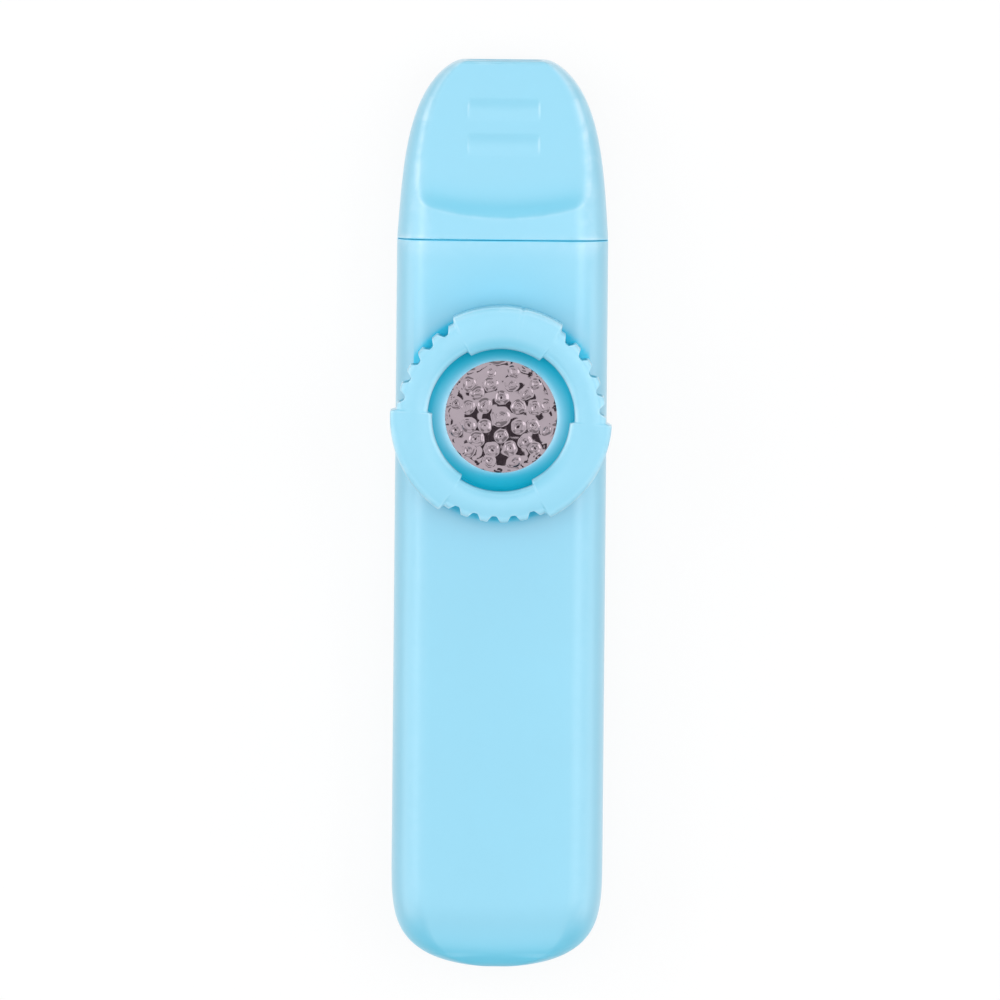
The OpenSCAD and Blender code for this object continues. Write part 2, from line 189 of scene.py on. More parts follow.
def mark_wear_and_painted_light(piece, shelter, size=0.35, at_ends=0.25):
    """Stores edge, flank and painted shade for each point. The piece's shade rule, given (x, y, z,
    normals), gives 0 where there is no painted shade and 1 where it is full; size is the radius of a
    fully pale edge, and at_ends is the share of the edges' wear and painted highlight on edges that
    face along the instrument."""
    mesh = piece.data
    points = np.empty(len(mesh.vertices) * 3)
    mesh.vertices.foreach_get("co", points)
    points = points.reshape(-1, 3) / MM
    normals = np.array([n.vector for n in mesh.vertex_normals])
    ends = np.empty(len(mesh.edges) * 2, int)
    mesh.edges.foreach_get("vertices", ends)
    a, b = ends.reshape(-1, 2).T
    along = points[b] - points[a]
    bend = np.einsum("ij,ij->i", normals[b] - normals[a], along) / np.maximum((along**2).sum(1), 1e-6)
    total, count = np.zeros(len(points)), np.zeros(len(points))
    for end in (a, b):
        np.add.at(total, end, np.clip(bend * size, 0, 1))
        np.add.at(count, end, 1)
    value = total / np.maximum(count, 1)
    for _ in range(SOFTENING_ROUNDS):
        nearby = np.zeros(len(points))
        np.add.at(nearby, a, value[b])
        np.add.at(nearby, b, value[a])
        value = (value + nearby / np.maximum(count, 1)) / 2
    # Facing the side lamps sets the painted sheen and the edges' painted highlight.
    flank = np.abs(normals[:, 0])
    sideways = at_ends + (1 - at_ends) * np.clip(flank * FLANK_GAIN, 0, 1)
    store(mesh, "edge", np.clip(value * EDGE_GAIN, 0, 1) * sideways)
    store(mesh, "flank", flank)
    store(mesh, "shelter", shelter(*points.T, normals))


# %% [markdown]
# ## Node trees written as sums
# A material or a geometry tree is a drawing of arithmetic. One small class wraps a socket, so that
# `1 - mask * 0.3` adds the Math nodes by itself, and one method makes every other node from its
# type, its settings and what goes into its sockets.

# %% Graph and Wire
class Wire:
    """A socket that can be added, multiplied and compared like a number."""

    def __init__(self, graph, socket):
        self.graph, self.socket = graph, socket

    def math(self, operation, *terms):
        return self.graph.node("ShaderNodeMath", {"operation": operation}, dict(enumerate(terms)))

    def __add__(self, other):
        return self.math("ADD", self, other)

    def __sub__(self, other):
        return self.math("SUBTRACT", self, other)

    def __rsub__(self, other):
        return self.math("SUBTRACT", other, self)

    def __mul__(self, other):
        return self.math("MULTIPLY", self, other)

    def __truediv__(self, other):
        return self.math("DIVIDE", self, other)

    def __pow__(self, other):
        return self.math("POWER", self, other)

    __radd__ = __add__

    def do(self, operation, *others):
        """Any other operation of the Math node, with this value first."""
        return self.math(operation, self, *others)

    def out(self, name):
        """Another output of the same node."""
        return Wire(self.graph, self.socket.node.outputs[name])


class Graph:
    """A node tree, and the one method that adds nodes to it."""

    def __init__(self, tree):
        self.tree = tree

    def node(self, kind, settings=None, sockets=None, out=0):
        made = self.tree.nodes.new(kind)
        for key, value in (settings or {}).items():
            if key == "stops":
                stops = made.color_ramp.elements
                while len(stops) < len(value):
                    stops.new(1)
                for stop, (place, colour) in zip(stops, value):
                    stop.position, stop.color = place, (*colour, 1)
            else:
                setattr(made, key, value)
        for key, value in (sockets or {}).items():
            if isinstance(value, Wire):
                self.tree.links.new(value.socket, made.inputs[key])
            else:
                made.inputs[key].default_value = value
        return Wire(self, made.outputs[out] if made.outputs else None)

    def ramp(self, value, low, high, to_low=0.0, to_high=1.0):
        """A soft step: to_low below low, to_high above high."""
        return self.node("ShaderNodeMapRange", {"interpolation_type": "SMOOTHSTEP"},
                         {0: value, 1: low, 2: high, 3: to_low, 4: to_high})

    def mix(self, factor, first, second):
        """Blends two colours."""
        return self.node("ShaderNodeMix", {"data_type": "RGBA"}, {0: factor, 6: first, 7: second}, out=2)

    def noise(self, place, scale, detail=2.0, out=0, **more):
        """Cloudy noise, with about as many clouds to a metre as its scale."""
        sockets = {"Vector": place, "Scale": scale, "Detail": detail, **more}
        return self.node("ShaderNodeTexNoise", {}, sockets, out)

    def vector(self, operation, *terms, out=0, **more):
        """A sum with vectors, or the distance between two of them."""
        sockets = {**dict(enumerate(terms)), **more}
        return self.node("ShaderNodeVectorMath", {"operation": operation}, sockets, out)

    def bump(self, height, strength=1.0):
        """A surface relief from a height in millimetres."""
        return self.node("ShaderNodeBump", {}, {"Strength": strength, "Distance": MM, "Height": height})


# %% [markdown]
# ## Moulded light blue plastic
# The shell, mouthpiece, dial and presser come out of smooth moulds in one light blue. The colour is
# almost even: broad, faint clouds where the melt flowed, a satin gloss that varies a little, and a
# fine grain that only breaks up the reflections. The satin shine is a top layer over the blue. Edges
# are paler, partly from wear and partly as a painted highlight; the sides that face the lamps are
# painted paler as a sheen; and places with painted shade have a deeper colour and lose the shine of
# that layer. Each piece gets its own copy with its own numbers: the bowl round the film and the walls
# of the dial get a deeper painted shade than the rest, and the presser's blue is painted lighter.

# %% The plastic material
CLOUD_SCALE, FLOW_SCALE, GRAIN_SCALE = 55.0, 300.0, 5200.0
PALE_SHARE, RUBBED_AND_LIT_SHARE = 0.35, 0.8
COAT_ROUGHNESS, COAT_IOR = 0.36, 1.8
GATE_INNER, GATE_OUTER, GATE_HEIGHT = 0.10, 0.32, 0.06


def colour4(r, g, b):
    return (r, g, b, 1.0)


def tinted(colour, share):
    """The colour times a share, and never over full white."""
    return colour4(*(min(c * share, 1) for c in colour))


def start_material(name):
    material = bpy.data.materials.new(name)
    material.use_nodes = True
    material.node_tree.nodes.clear()
    return material, Graph(material.node_tree)


def finish_surface(graph, shader):
    graph.node("ShaderNodeOutputMaterial", {}, {"Surface": shader})


def moulded_plastic(name, colour, gloss=0.38, gate=None, flank=0.22, skin=0.4, hollow=(0.0, 0.54, 0.79)):
    """Satin light blue plastic. hollow is its colour where the painted shade is full, skin is the
    strength of its inner shine, flank is how much paler the painted sheen makes the sides that face the
    lamps, and gate is the place of the small mark where the melt came in."""
    material, graph = start_material(name)
    place = graph.node("ShaderNodeTexCoord", out="Object")
    broad = graph.noise(place, CLOUD_SCALE)
    flow = graph.noise(place, FLOW_SCALE, 3.0, Distortion=0.8)
    fine = graph.noise(place, GRAIN_SCALE)
    wear_and_highlight, side_sheen, painted_shading = (graph.node("ShaderNodeAttribute", {"attribute_name": key}, out="Fac")
                             for key in ("edge", "flank", "shelter"))
    tone = graph.mix(broad * 0.75 + flow * 0.25, tinted(colour, 0.95), tinted(colour, 1.03))
    pale = colour4(*(c + (1 - c) * PALE_SHARE for c in colour))
    # Paler edges are wear plus a painted highlight; paler sides facing the lamps are a painted sheen.
    rubbed_and_lit = wear_and_highlight * graph.ramp(flow, 0.35, 0.7, 0.35, 1.0)
    side_sheen = graph.ramp(side_sheen, 0.35, 1.0) * graph.ramp(broad, 0.3, 0.7, 0.7, 1.0)
    tone = graph.mix((rubbed_and_lit * RUBBED_AND_LIT_SHARE).do("MAXIMUM", side_sheen * flank), tone, pale)
    # Painted shade: a deeper colour wherever the shade mark is high.
    tone = graph.mix(painted_shading, tone, colour4(*hollow))
    height = fine * 0.004 + flow * 0.006
    if gate:
        across = graph.vector("DISTANCE", place, tuple(c * MM for c in gate), out="Value")
        spot = 1 - graph.ramp(across, GATE_INNER * MM, GATE_OUTER * MM)
        tone = graph.mix(spot * 0.35, tone, tinted(colour, 0.75))
        height = height + spot * GATE_HEIGHT
    shine = gloss + (flow - 0.5) * 0.07 + (broad - 0.5) * 0.05 - rubbed_and_lit * 0.05
    # The painted shade also takes away the coat's shine.
    finish_surface(graph, graph.node("ShaderNodeBsdfPrincipled", {}, {
        "Base Color": tone, "Roughness": shine, "Normal": graph.bump(height), "Specular IOR Level": skin,
        "Coat Weight": 1 - painted_shading, "Coat Roughness": COAT_ROUGHNESS, "Coat IOR": COAT_IOR}))
    return material


shell_colour = (0.146, 0.482, 0.65)
shell_plastic = moulded_plastic("light_blue_shell", shell_colour, gate=(1.5, -58.2, body_depth - 1.0))
mouth_plastic = moulded_plastic("light_blue_mouthpiece", shell_colour)
# The dial's copy gets a deeper colour for its painted shade.
dial_plastic = moulded_plastic("light_blue_dial", shell_colour, gloss=0.4, hollow=(0.0, 0.34, 0.5))
# The presser's copy is the same plastic painted lighter, as if lit, with a deeper painted shade colour.
presser_plastic = moulded_plastic("light_blue_presser", (0.26, 0.63, 0.82), gloss=0.34, flank=0.0,
                                  skin=0.12, hollow=(0.0, 0.4, 0.58))
print("plastics:", shell_plastic.name, mouth_plastic.name, dial_plastic.name, presser_plastic.name)


# %% [markdown]
# ## The section of the shell
# Across the instrument the shell is a rectangle with four large roundings and a slightly crowned
# front. A ring of points on it is described by where on the outline each point sits, not by angles,
# so that the same list gives matching rings for the outside, the hollow, the spigot and the slots,
# and points can be set closer together wherever a fine detail crosses them.

# %% Rings of the rounded section
EDGE_RADIUS, CROWN, WALL, RIM_BEVEL = 5.0, 0.25, 1.6, 0.2


def spread(low, high, spacing, dense=()):
    """Places from low up to but without high. Dense zones are (from, to, spacing)."""
    places = [low]
    while True:
        step = min([spacing] + [s for a, b, s in dense if a - s <= places[-1] < b])
        if places[-1] + step * 1.5 > high:
            break
        places.append(places[-1] + step)
    ends = np.linspace(places[-1], high, 2, endpoint=False)
    return np.array(places[:-1] + list(ends))


def ring_plan(flat, corner, dense=()):
    """Where the points sit on the outline: (kind, share along it), from the middle of the right side."""
    x_flat, z_flat = half_width - EDGE_RADIUS, mid_z - CROWN - EDGE_RADIUS
    rise = np.linspace(0, 1, int(EDGE_RADIUS * math.pi / 2 / corner), endpoint=False)
    side = np.linspace(0, 1, int(z_flat / flat), endpoint=False)
    front = spread(-x_flat, x_flat, flat, dense) / x_flat
    back = np.linspace(-1, 1, int(2 * x_flat / flat), endpoint=False)
    plan = [("right", s) for s in side] + [("corner0", s) for s in rise]
    plan += [("front", -s) for s in front] + [("corner1", s) for s in rise]
    plan += [("left", 1 - 2 * s) for s in np.linspace(0, 1, 2 * len(side), endpoint=False)]
    plan += [("corner2", s) for s in rise] + [("back", s) for s in back]
    plan += [("corner3", s) for s in rise] + [("right", s - 1) for s in side]
    return plan


def section(plan, half_w, half_d, radius, crown):
    """The outline's points (x, z) round the middle of the depth."""
    x_c = half_w - radius
    tilt = math.atan2(2 * crown, x_c + radius * 0.05)
    x_e = x_c + radius * math.sin(tilt)
    z_top = half_d - crown - radius * math.cos(tilt)
    z_low = radius - half_d
    points = []
    for kind, s in plan:
        if kind in ("right", "left"):
            side = 1 if kind == "right" else -1
            points.append((side * half_w, s * (z_top if s > 0 else -z_low)))
        elif kind == "front":
            points.append((s * x_e, half_d - crown * s * s))
        elif kind == "back":
            points.append((s * x_c, -half_d))
        else:
            quarter = int(kind[-1])
            span = (math.pi / 2 - tilt) if quarter < 2 else math.pi / 2
            start = {0: 0.0, 1: math.pi / 2 + tilt, 2: math.pi, 3: 1.5 * math.pi}[quarter]
            a = start + span * s
            side = 1 if quarter in (0, 3) else -1
            centre_z = z_top if quarter < 2 else z_low
            points.append((side * x_c + radius * math.cos(a), centre_z + radius * math.sin(a)))
    return np.array(points)


def shell_section(plan, inset):
    return section(plan, half_width - inset, mid_z - inset, EDGE_RADIUS - inset, CROWN)


def rounding(size, count):
    """Pairs (sideways, along) that round an edge off in count rings, from (size, 0) to (0, size)."""
    return [(size * (1 - math.sin(a)), size * (1 - math.cos(a))) for a in np.linspace(0, math.pi / 2, count)]


def at(y, points, share_x=1.0, share_z=1.0):
    """Sets a section at a place, or at one place per point, along the instrument."""
    out = np.empty((len(points), 3))
    out[:, 0] = points[:, 0] * share_x
    out[:, 1] = y
    out[:, 2] = mid_z + points[:, 1] * share_z
    return out


# %% [markdown]
# ## The tail
# Seen from above the tail is a very blunt, stretched round, and seen from the side the front and
# the back draw in over the last stretch. Both laws give a share of the full section at a distance
# from the end. The end itself is cut by the sound slot. To run the rings from the outside into the
# slot, the cap between them is found point by point: each point slides along the instrument until
# it lies on the tail's own surface.

# %% The tail's laws
TAIL_LENGTH, TAIL_NOSE, TAIL_DEPTH = 16.9, 9.4, 8.4
WIDTH_BLUNTNESS, LENGTH_BLUNTNESS, END_SHARE = 2.28, 4.34, 0.12
END_ANGLE = math.asin(END_SHARE ** (WIDTH_BLUNTNESS / 2))
EXIT_WIDTH, EXIT_HEIGHT, LIP = 13.0, 5.4, 0.3
HALVINGS = 36


def tail_place(angle, inset):
    """Place along the instrument and shares of width and depth, at an angle from 0 to 90 degrees."""
    along = lambda a: 1 - np.cos(a) ** (2 / LENGTH_BLUNTNESS)
    distance = (TAIL_LENGTH - inset) * (along(angle) - along(END_ANGLE))
    u = np.clip(1 - distance / TAIL_NOSE, 0, 1)
    end = TAIL_DEPTH / body_depth
    share_x = np.sin(angle) ** (2 / WIDTH_BLUNTNESS)
    return tail_y + inset + distance, share_x, end + (1 - end) * np.sqrt(1 - u * u)


def cap_place(x, z, inset):
    """Where along the instrument the tail's surface passes over the points (x, z)."""
    low = np.full(len(x), END_ANGLE)
    high = np.full(len(x), math.pi / 2 - 1e-4)
    half_w, half_d, r = half_width - inset, mid_z - inset, EDGE_RADIUS - inset
    for _ in range(HALVINGS):
        angle = (low + high) / 2
        _, share_x, share_z = tail_place(angle, inset)
        qx = np.abs(x) / share_x - (half_w - r)
        qz = np.abs(z) / share_z - (half_d - r)
        inside = np.hypot(np.maximum(qx, 0), np.maximum(qz, 0)) + np.minimum(np.maximum(qx, qz), 0) < r
        high = np.where(inside, angle, high)
        low = np.where(inside, low, angle)
    return tail_place(high, inset)[0]


def cap_ring(flat, inset):
    """A ring on the tail's surface over the points (x, height)."""
    x, z = flat[:, 0], flat[:, 1] - mid_z
    return at(cap_place(x, z, inset), np.stack([x, z], 1))


def slot_ring(plan, grow):
    """The sound slot's outline, a bar with round ends, in the order of the plan."""
    outer = shell_section(plan, 0)
    length = EXIT_WIDTH - EXIT_HEIGHT
    r = EXIT_HEIGHT / 2 + grow
    quarter = length / 2 + math.pi * r / 2
    steps = np.hypot(*(np.roll(outer, -1, 0) - outer).T)
    reached = np.concatenate([[0], np.cumsum(steps)[:-1]]) / steps.sum() * 4 * quarter
    points = []
    for s in reached:
        q, t = divmod(s, quarter)
        q = int(q) % 4
        t = t if q in (0, 2) else quarter - t
        a = min(t / r, math.pi / 2)
        x = length / 2 + r * math.cos(a) if a < math.pi / 2 else length / 2 - (t - math.pi * r / 2)
        points.append((x * (1 if q in (0, 3) else -1), r * math.sin(a) * (1 if q < 2 else -1)))
    return np.array(points)


# %% [markdown]
# ## The shell
# The outside, the lip of the slot, the hollow and the rim under the mouthpiece make one long closed
# skin. The turret for the dial is then added as a turned solid with a thread groove round it, and a
# second turned solid takes out the pocket for the film and the hole down to the hollow.

# %% Skin of the shell
DIAL_ZONE_OUTER, DIAL_ZONE_INNER = 17.4, 11.0
OUTER_TURN, INNER_TURN = 40, 50


def shell_skin():
    """Rings from the rim under the mouthpiece along the outside, into the slot and back inside. They
    are close together near the dial, where the painted shade changes within a millimetre."""
    plan = ring_plan(0.45, 0.2)
    outside, hollow = shell_section(plan, 0), shell_section(plan, WALL)
    rings = []
    for inset, on in rounding(RIM_BEVEL, 5):
        rings.append(at(seam_y - on, outside, 1 - inset / half_width, 1 - inset / mid_z))
    straight_end = tail_place(math.pi / 2 - 1e-6, 0)[0]
    marks = [dial_y + d for d in (-DIAL_ZONE_OUTER, -DIAL_ZONE_INNER, DIAL_ZONE_INNER, DIAL_ZONE_OUTER)]
    dense = list(zip(marks, marks[1:], (0.3, 0.6, 0.3)))
    rings += [at(y, outside) for y in spread(straight_end + 0.6, seam_y - 1.2, 1.9, dense)[::-1]]
    for angle in np.radians(np.linspace(89, OUTER_TURN, 50)):
        y, share_x, share_z = tail_place(angle, 0)
        rings.append(at(y, outside, share_x, share_z))
    last = rings[-1][:, [0, 2]]
    mouth = slot_ring(plan, LIP) + [0, mid_z]
    rings += [cap_ring(last * (1 - t) + mouth * t, 0) for t in np.linspace(0, 1, 27)[1:]]
    brim = rings[-1][:, 1]
    rings += [at(brim + on, slot_ring(plan, wider)) for wider, on in rounding(LIP, 6)[1:]]
    inner_mouth = slot_ring(plan, 0) + [0, mid_z]
    y, share_x, share_z = tail_place(math.radians(INNER_TURN), WALL)
    wide = at(y, hollow, share_x, share_z)[:, [0, 2]]
    rings += [cap_ring(inner_mouth * (1 - t) + wide * t, WALL) for t in np.linspace(0, 1, 9)[:-1]]
    for angle in np.radians(np.linspace(INNER_TURN, 89.5, 18)):
        y, share_x, share_z = tail_place(angle, WALL)
        rings.append(at(y, hollow, share_x, share_z))
    rings += [at(y, hollow) for y in np.linspace(straight_end + 2, seam_y - 0.1, 14)]
    rings.append(at(seam_y, shell_section(plan, WALL - 0.1)))
    return loop_mesh("kazoo_shell", rings)


shell = shell_skin()
report(shell)

# %% [markdown]
# ## Turned solids
# Anything round is drawn as a half section, radius and height, whose corners are rounded as a mould
# would round them, and then swept round its axis.

# %% Helpers for turned solids
def rounded(corners, steps=5):
    """A closed half section from corners (r, z, rounding)."""
    points = []
    count = len(corners)
    for k in range(count):
        here = np.array(corners[k][:2], float)
        size = corners[k][2]
        if size == 0:
            points.append(here)
            continue
        back = np.array(corners[k - 1][:2], float) - here
        ahead = np.array(corners[(k + 1) % count][:2], float) - here
        a = here + back / np.linalg.norm(back) * size
        b = here + ahead / np.linalg.norm(ahead) * size
        for t in np.linspace(0, 1, steps + 1):
            points.append((1 - t) ** 2 * a + 2 * t * (1 - t) * here + t * t * b)
    return np.array(points)


def turned(name, half_section, segments, change=None):
    """Sweeps a half section round the dial's axis. change(r, z, angle) may alter the radii."""
    rings = []
    r_line, z = half_section[:, 0], half_section[:, 1]
    for k in range(segments):
        a = 2 * math.pi * k / segments
        r = change(r_line, z, a) if change else r_line
        rings.append(np.stack([r * math.cos(a), dial_y + r * math.sin(a), z], 1))
    return loop_mesh(name, rings)


KEYS = 3


def key_blocks(name, r_from, r_to, width, z_from, z_to):
    """Blocks at equal angles, one closed solid each, in one mesh."""
    points, faces = [], []
    for k in range(KEYS):
        a = 2 * math.pi * k / KEYS
        for r in (r_from, r_to):
            for side in (-width / 2, width / 2):
                for z in (z_from, z_to):
                    x, y = r * math.cos(a) - side * math.sin(a), r * math.sin(a) + side * math.cos(a)
                    points.append((x, dial_y + y, z))
        n = 8 * k
        faces += [[n + i for i in f] for f in
                  ((0, 1, 3, 2), (4, 6, 7, 5), (0, 4, 5, 1), (2, 3, 7, 6), (0, 2, 6, 4), (1, 5, 7, 3))]
    return piece_from(name, points, faces)


# %% [markdown]
# The turret stands on the shell's front and carries the dial. A two-start thread groove winds round
# it and fades out before both ends. Inside it are the sound chamber, the drum whose rim carries the
# film, and a wide bore for the hoop and the presser, with three keyways in its wall.

# %% Turret, pocket and keyways
CHAMBER_R, DRUM_R, BORE_R, TURRET_R = 7.9, 8.7, 10.62, 12.02
CORE_R, KEYWAY_DEPTH, KEYWAY_WIDTH, CORNER = 5.0, 0.72, 2.6, 0.12
ROOT_Z, WALL_Z, POCKET_Z, FLOOR_Z, KEYWAY_Z, ABOVE_Z = 15.7, 17.2, 13.6, body_depth - 0.4, 19.35, 23.0
THREAD_LEAD, THREAD_DEPTH, THREAD_WIDTH, THREAD_FLAT, THREAD_FADE = 3.6, 0.22, 1.0, 0.5, 0.2


def thread_groove(r, z, angle):
    """A groove that winds round the turret and runs out before both ends."""
    phase = (z - THREAD_LEAD * angle / (2 * math.pi)) % (THREAD_LEAD / 2)
    near = np.abs(phase - THREAD_LEAD / 4)
    depth = THREAD_DEPTH * (1 - rising(near, THREAD_FLAT / 2, (THREAD_WIDTH - THREAD_FLAT) / 2))
    ends = rising(z, WALL_Z + 0.05, THREAD_FADE) * rising(turret_top - z, 0.35, THREAD_FADE)
    return np.where(r > TURRET_R - 0.01, r - depth * ends, r)


wall_z = np.linspace(WALL_Z, turret_top - 0.25, 34)
turret_section = np.concatenate([
    [(4.0, ROOT_Z), (TURRET_R, ROOT_Z)],
    np.stack([np.full(len(wall_z), TURRET_R), wall_z], 1),
    [(TURRET_R - 0.02, turret_top - CORNER), (TURRET_R - CORNER, turret_top), (4.0, turret_top)],
])
turret = turned("turret_solid", turret_section, 256, thread_groove)
pocket = turned("pocket_solid", rounded([
    (3.0, POCKET_Z, 0), (CHAMBER_R, POCKET_Z, 0), (CHAMBER_R, drum_top - CORNER, 0),
    (CHAMBER_R + CORNER, drum_top, 0), (DRUM_R - CORNER, drum_top, 0), (DRUM_R, drum_top - CORNER, 0),
    (DRUM_R, FLOOR_Z, 0), (BORE_R, FLOOR_Z, 0), (BORE_R, turret_top - 0.2, 0),
    (BORE_R + 0.4, turret_top + 0.2, 0), (BORE_R + 0.4, ABOVE_Z, 0), (3.0, ABOVE_Z, 0)]), 256)
core = turned("core_solid", np.array([(0.001, 13.0), (CORE_R, 13.0), (CORE_R, 23.5), (0.001, 23.5)]), 64)
keyways = key_blocks("keyway_solid", 9.8, BORE_R + KEYWAY_DEPTH, KEYWAY_WIDTH, KEYWAY_Z, 22)
carve(shell, turret, "UNION")
for tool in (pocket, core, keyways):
    carve(shell, tool, "DIFFERENCE")

# %% [markdown]
# The shell's colour carries painted shade from the dial in three ways: the turret wholly, the front
# below the rim strongly, and a wide, faint painted shadow on the side towards the mouthpiece. The rim
# of the seam is a hollow and gets painted shade too. The steep end of the tail faces along the table,
# away from the arch of lamps, so it is painted deeper as well.

# %% Painted shade and finish of the shell
UNDER_RIM_R, SHADE_WIDTH, CORE_WIDTH, PATCH_WIDTH = 14.4, 1.6, 0.4, 9.0
SHADE_SHARE, CORE_SHARE, PATCH_SHARE = 0.5, 0.4, 0.22
TAIL_SLANT, TAIL_FADE, TAIL_SHADE, SEAM_SHADE = 0.15, 0.6, 0.5, 0.9


def painted_shade_on_shell(x, y, z, normals):
    """How much painted shade the shell's points get."""
    away = np.hypot(x, y - dial_y)
    out = away - UNDER_RIM_R
    # Painted shadow under the dial's rim, and a faint one towards the mouthpiece.
    shade = (1 - rising(out, 0, SHADE_WIDTH)) ** 2 * SHADE_SHARE
    shade += (1 - rising(out, 0, CORE_WIDTH)) * CORE_SHARE
    shade += (1 - rising(out, 0, PATCH_WIDTH)) * rising(y, dial_y, away) ** 2 * PATCH_SHARE
    on_front = z > body_depth - 1.0
    dial_side = np.where(on_front, np.where(away < TURRET_R + 0.6, 1.0, shade), 0.0)
    # Painted shade in the seam's rim and on the tail's end, which faces along the instrument.
    seam = rising(y, seam_y - RIM_BEVEL, RIM_BEVEL) * SEAM_SHADE
    tail = rising(-normals[:, 1], TAIL_SLANT, TAIL_FADE) * TAIL_SHADE
    return np.maximum(np.maximum(dial_side, seam), tail)


smooth(shell)
mark_wear_and_painted_light(shell, painted_shade_on_shell)
shell.data.materials.clear()
shell.data.materials.append(shell_plastic)
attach(shell, "housing")
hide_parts("body")
report(shell)

# %% [markdown]
# ## The mouthpiece
# It carries on the shell's section and narrows to a flat tip. Two dished facets, front and back,
# give the lips and teeth a hold; each begins with a step along a crescent, and the front one has two
# faint ribs. Cutting the facets with a Boolean would leave knife edges, so the skin takes the lower
# of two heights, the tube's and the facet's, and blends them over a small distance. That gives the
# soft bright line along the facet's edge that moulded pieces have, and a painted highlight on that
# edge makes it brighter still.

# %% The mouthpiece's laws
BITE_START, BITE_STEP, BITE_FADE, BITE_RADIUS, BITE_THICKNESS = 3.2, 1.0, 1.0, 48.0, 8.2
RIB_LENGTH, RIB_WIDTH, RIB_FADE, RIB_HEIGHT, RIB_END = 9.9, 1.7, 0.9, 0.1, 0.4
TIP_DEPTH, DEPTH_POWER, FACET_BLEND = 10.4, 1.4, 0.5
TAPER, NOSE_REACH, NOSE_POWER, NOSE_ROOT = 0.115, 1.04, 3.55, 2.82
BLOW_WIDTH, BLOW_HEIGHT, BLOW_DEPTH = 10.4, 4.5, 3.0
SPIGOT_LENGTH, SPIGOT_WALL, SPIGOT_GAP, SEAM_GAP = 8.0, 1.5, 0.1, 0.03
mouth_length = tip_y - seam_y
rib_places = [tip_y - 6.7 - k * 4.8 for k in range(2)]
bite_slope = (mid_z - BITE_STEP - BITE_THICKNESS / 2) / (mouth_length - BITE_START)


def mouth_shares(t):
    """Shares of the shell's width and depth at a share of the way from the seam to the tip."""
    share_x = (1 - TAPER * t) * (1 - (t / NOSE_REACH) ** NOSE_POWER) ** (1 / NOSE_ROOT)
    return share_x, 1 - (1 - TIP_DEPTH / body_depth) * t**DEPTH_POWER


def facet_height(x, y):
    """Height of a facet's surface over the middle of the depth."""
    u = BITE_RADIUS - np.hypot(x, y - (seam_y + BITE_START + BITE_RADIUS))
    step = BITE_STEP * (1 - np.exp(-np.maximum(u, 0) / BITE_FADE))
    first_slope = BITE_STEP / BITE_FADE + bite_slope
    return mid_z - np.where(u > 0, step + bite_slope * u, first_slope * u)


def rib_height(x, y):
    """The two ribs: low bars that fade out sideways and end crisply."""
    total = np.zeros_like(x)
    for place in rib_places:
        side = np.clip(np.abs(y - place) / (RIB_WIDTH / 2 + RIB_FADE), 0, 1)
        end = np.clip((RIB_LENGTH / 2 - np.abs(x)) / RIB_END + 0.5, 0, 1)
        total += RIB_HEIGHT * (1 - side * side) ** 2 * end * end * (3 - 2 * end)
    return total


def lower_of(a, b):
    """The lower of two heights, with a soft change from one to the other."""
    h = np.maximum(FACET_BLEND - np.abs(a - b), 0) / FACET_BLEND
    return np.minimum(a, b) - h * h * FACET_BLEND / 4


def mouth_ring(plan_points, y):
    """One ring of the outside, with the facets and ribs."""
    t = np.clip((y - seam_y - SEAM_GAP) / (mouth_length - SEAM_GAP), 0, 1)
    share_x, share_z = mouth_shares(t)
    x, z = plan_points[:, 0] * share_x, plan_points[:, 1] * share_z
    facet = facet_height(x, y)
    front = lower_of(z, facet + rib_height(x, y))
    back = -lower_of(-z, facet)
    return np.stack([x, np.where(z > 0, front, back)], 1)


# %% [markdown]
# Inside, the wind way follows the outside at one wall's distance, then draws in to the blow slot.
# Its sections are all the same family of rounded rectangles, so a few stations and a smooth blend
# between their four numbers are enough.

# %% Skin of the mouthpiece
TIP_ROUND, BLOW_LIP, SPIGOT_ROUND, SIDE_SHARE = 0.5, 0.3, 0.4, 0.8
STEP_ZONE, TIP_ZONE, RIB_ZONE, RIB_END_ZONE = (2.6, 7.2), 1.6, 1.8, (4.9, 6.6)


def wind_station(distance):
    """Half width, half depth, rounding and crown of the wind way at a distance from the seam."""
    half_w = half_width * mouth_shares(distance / mouth_length)[0] - WALL
    half_d = facet_height(np.zeros(1), np.array([seam_y + max(distance, BITE_START)]))[0] - WALL
    return np.array([half_w, half_d, half_d * SIDE_SHARE, 0.0])


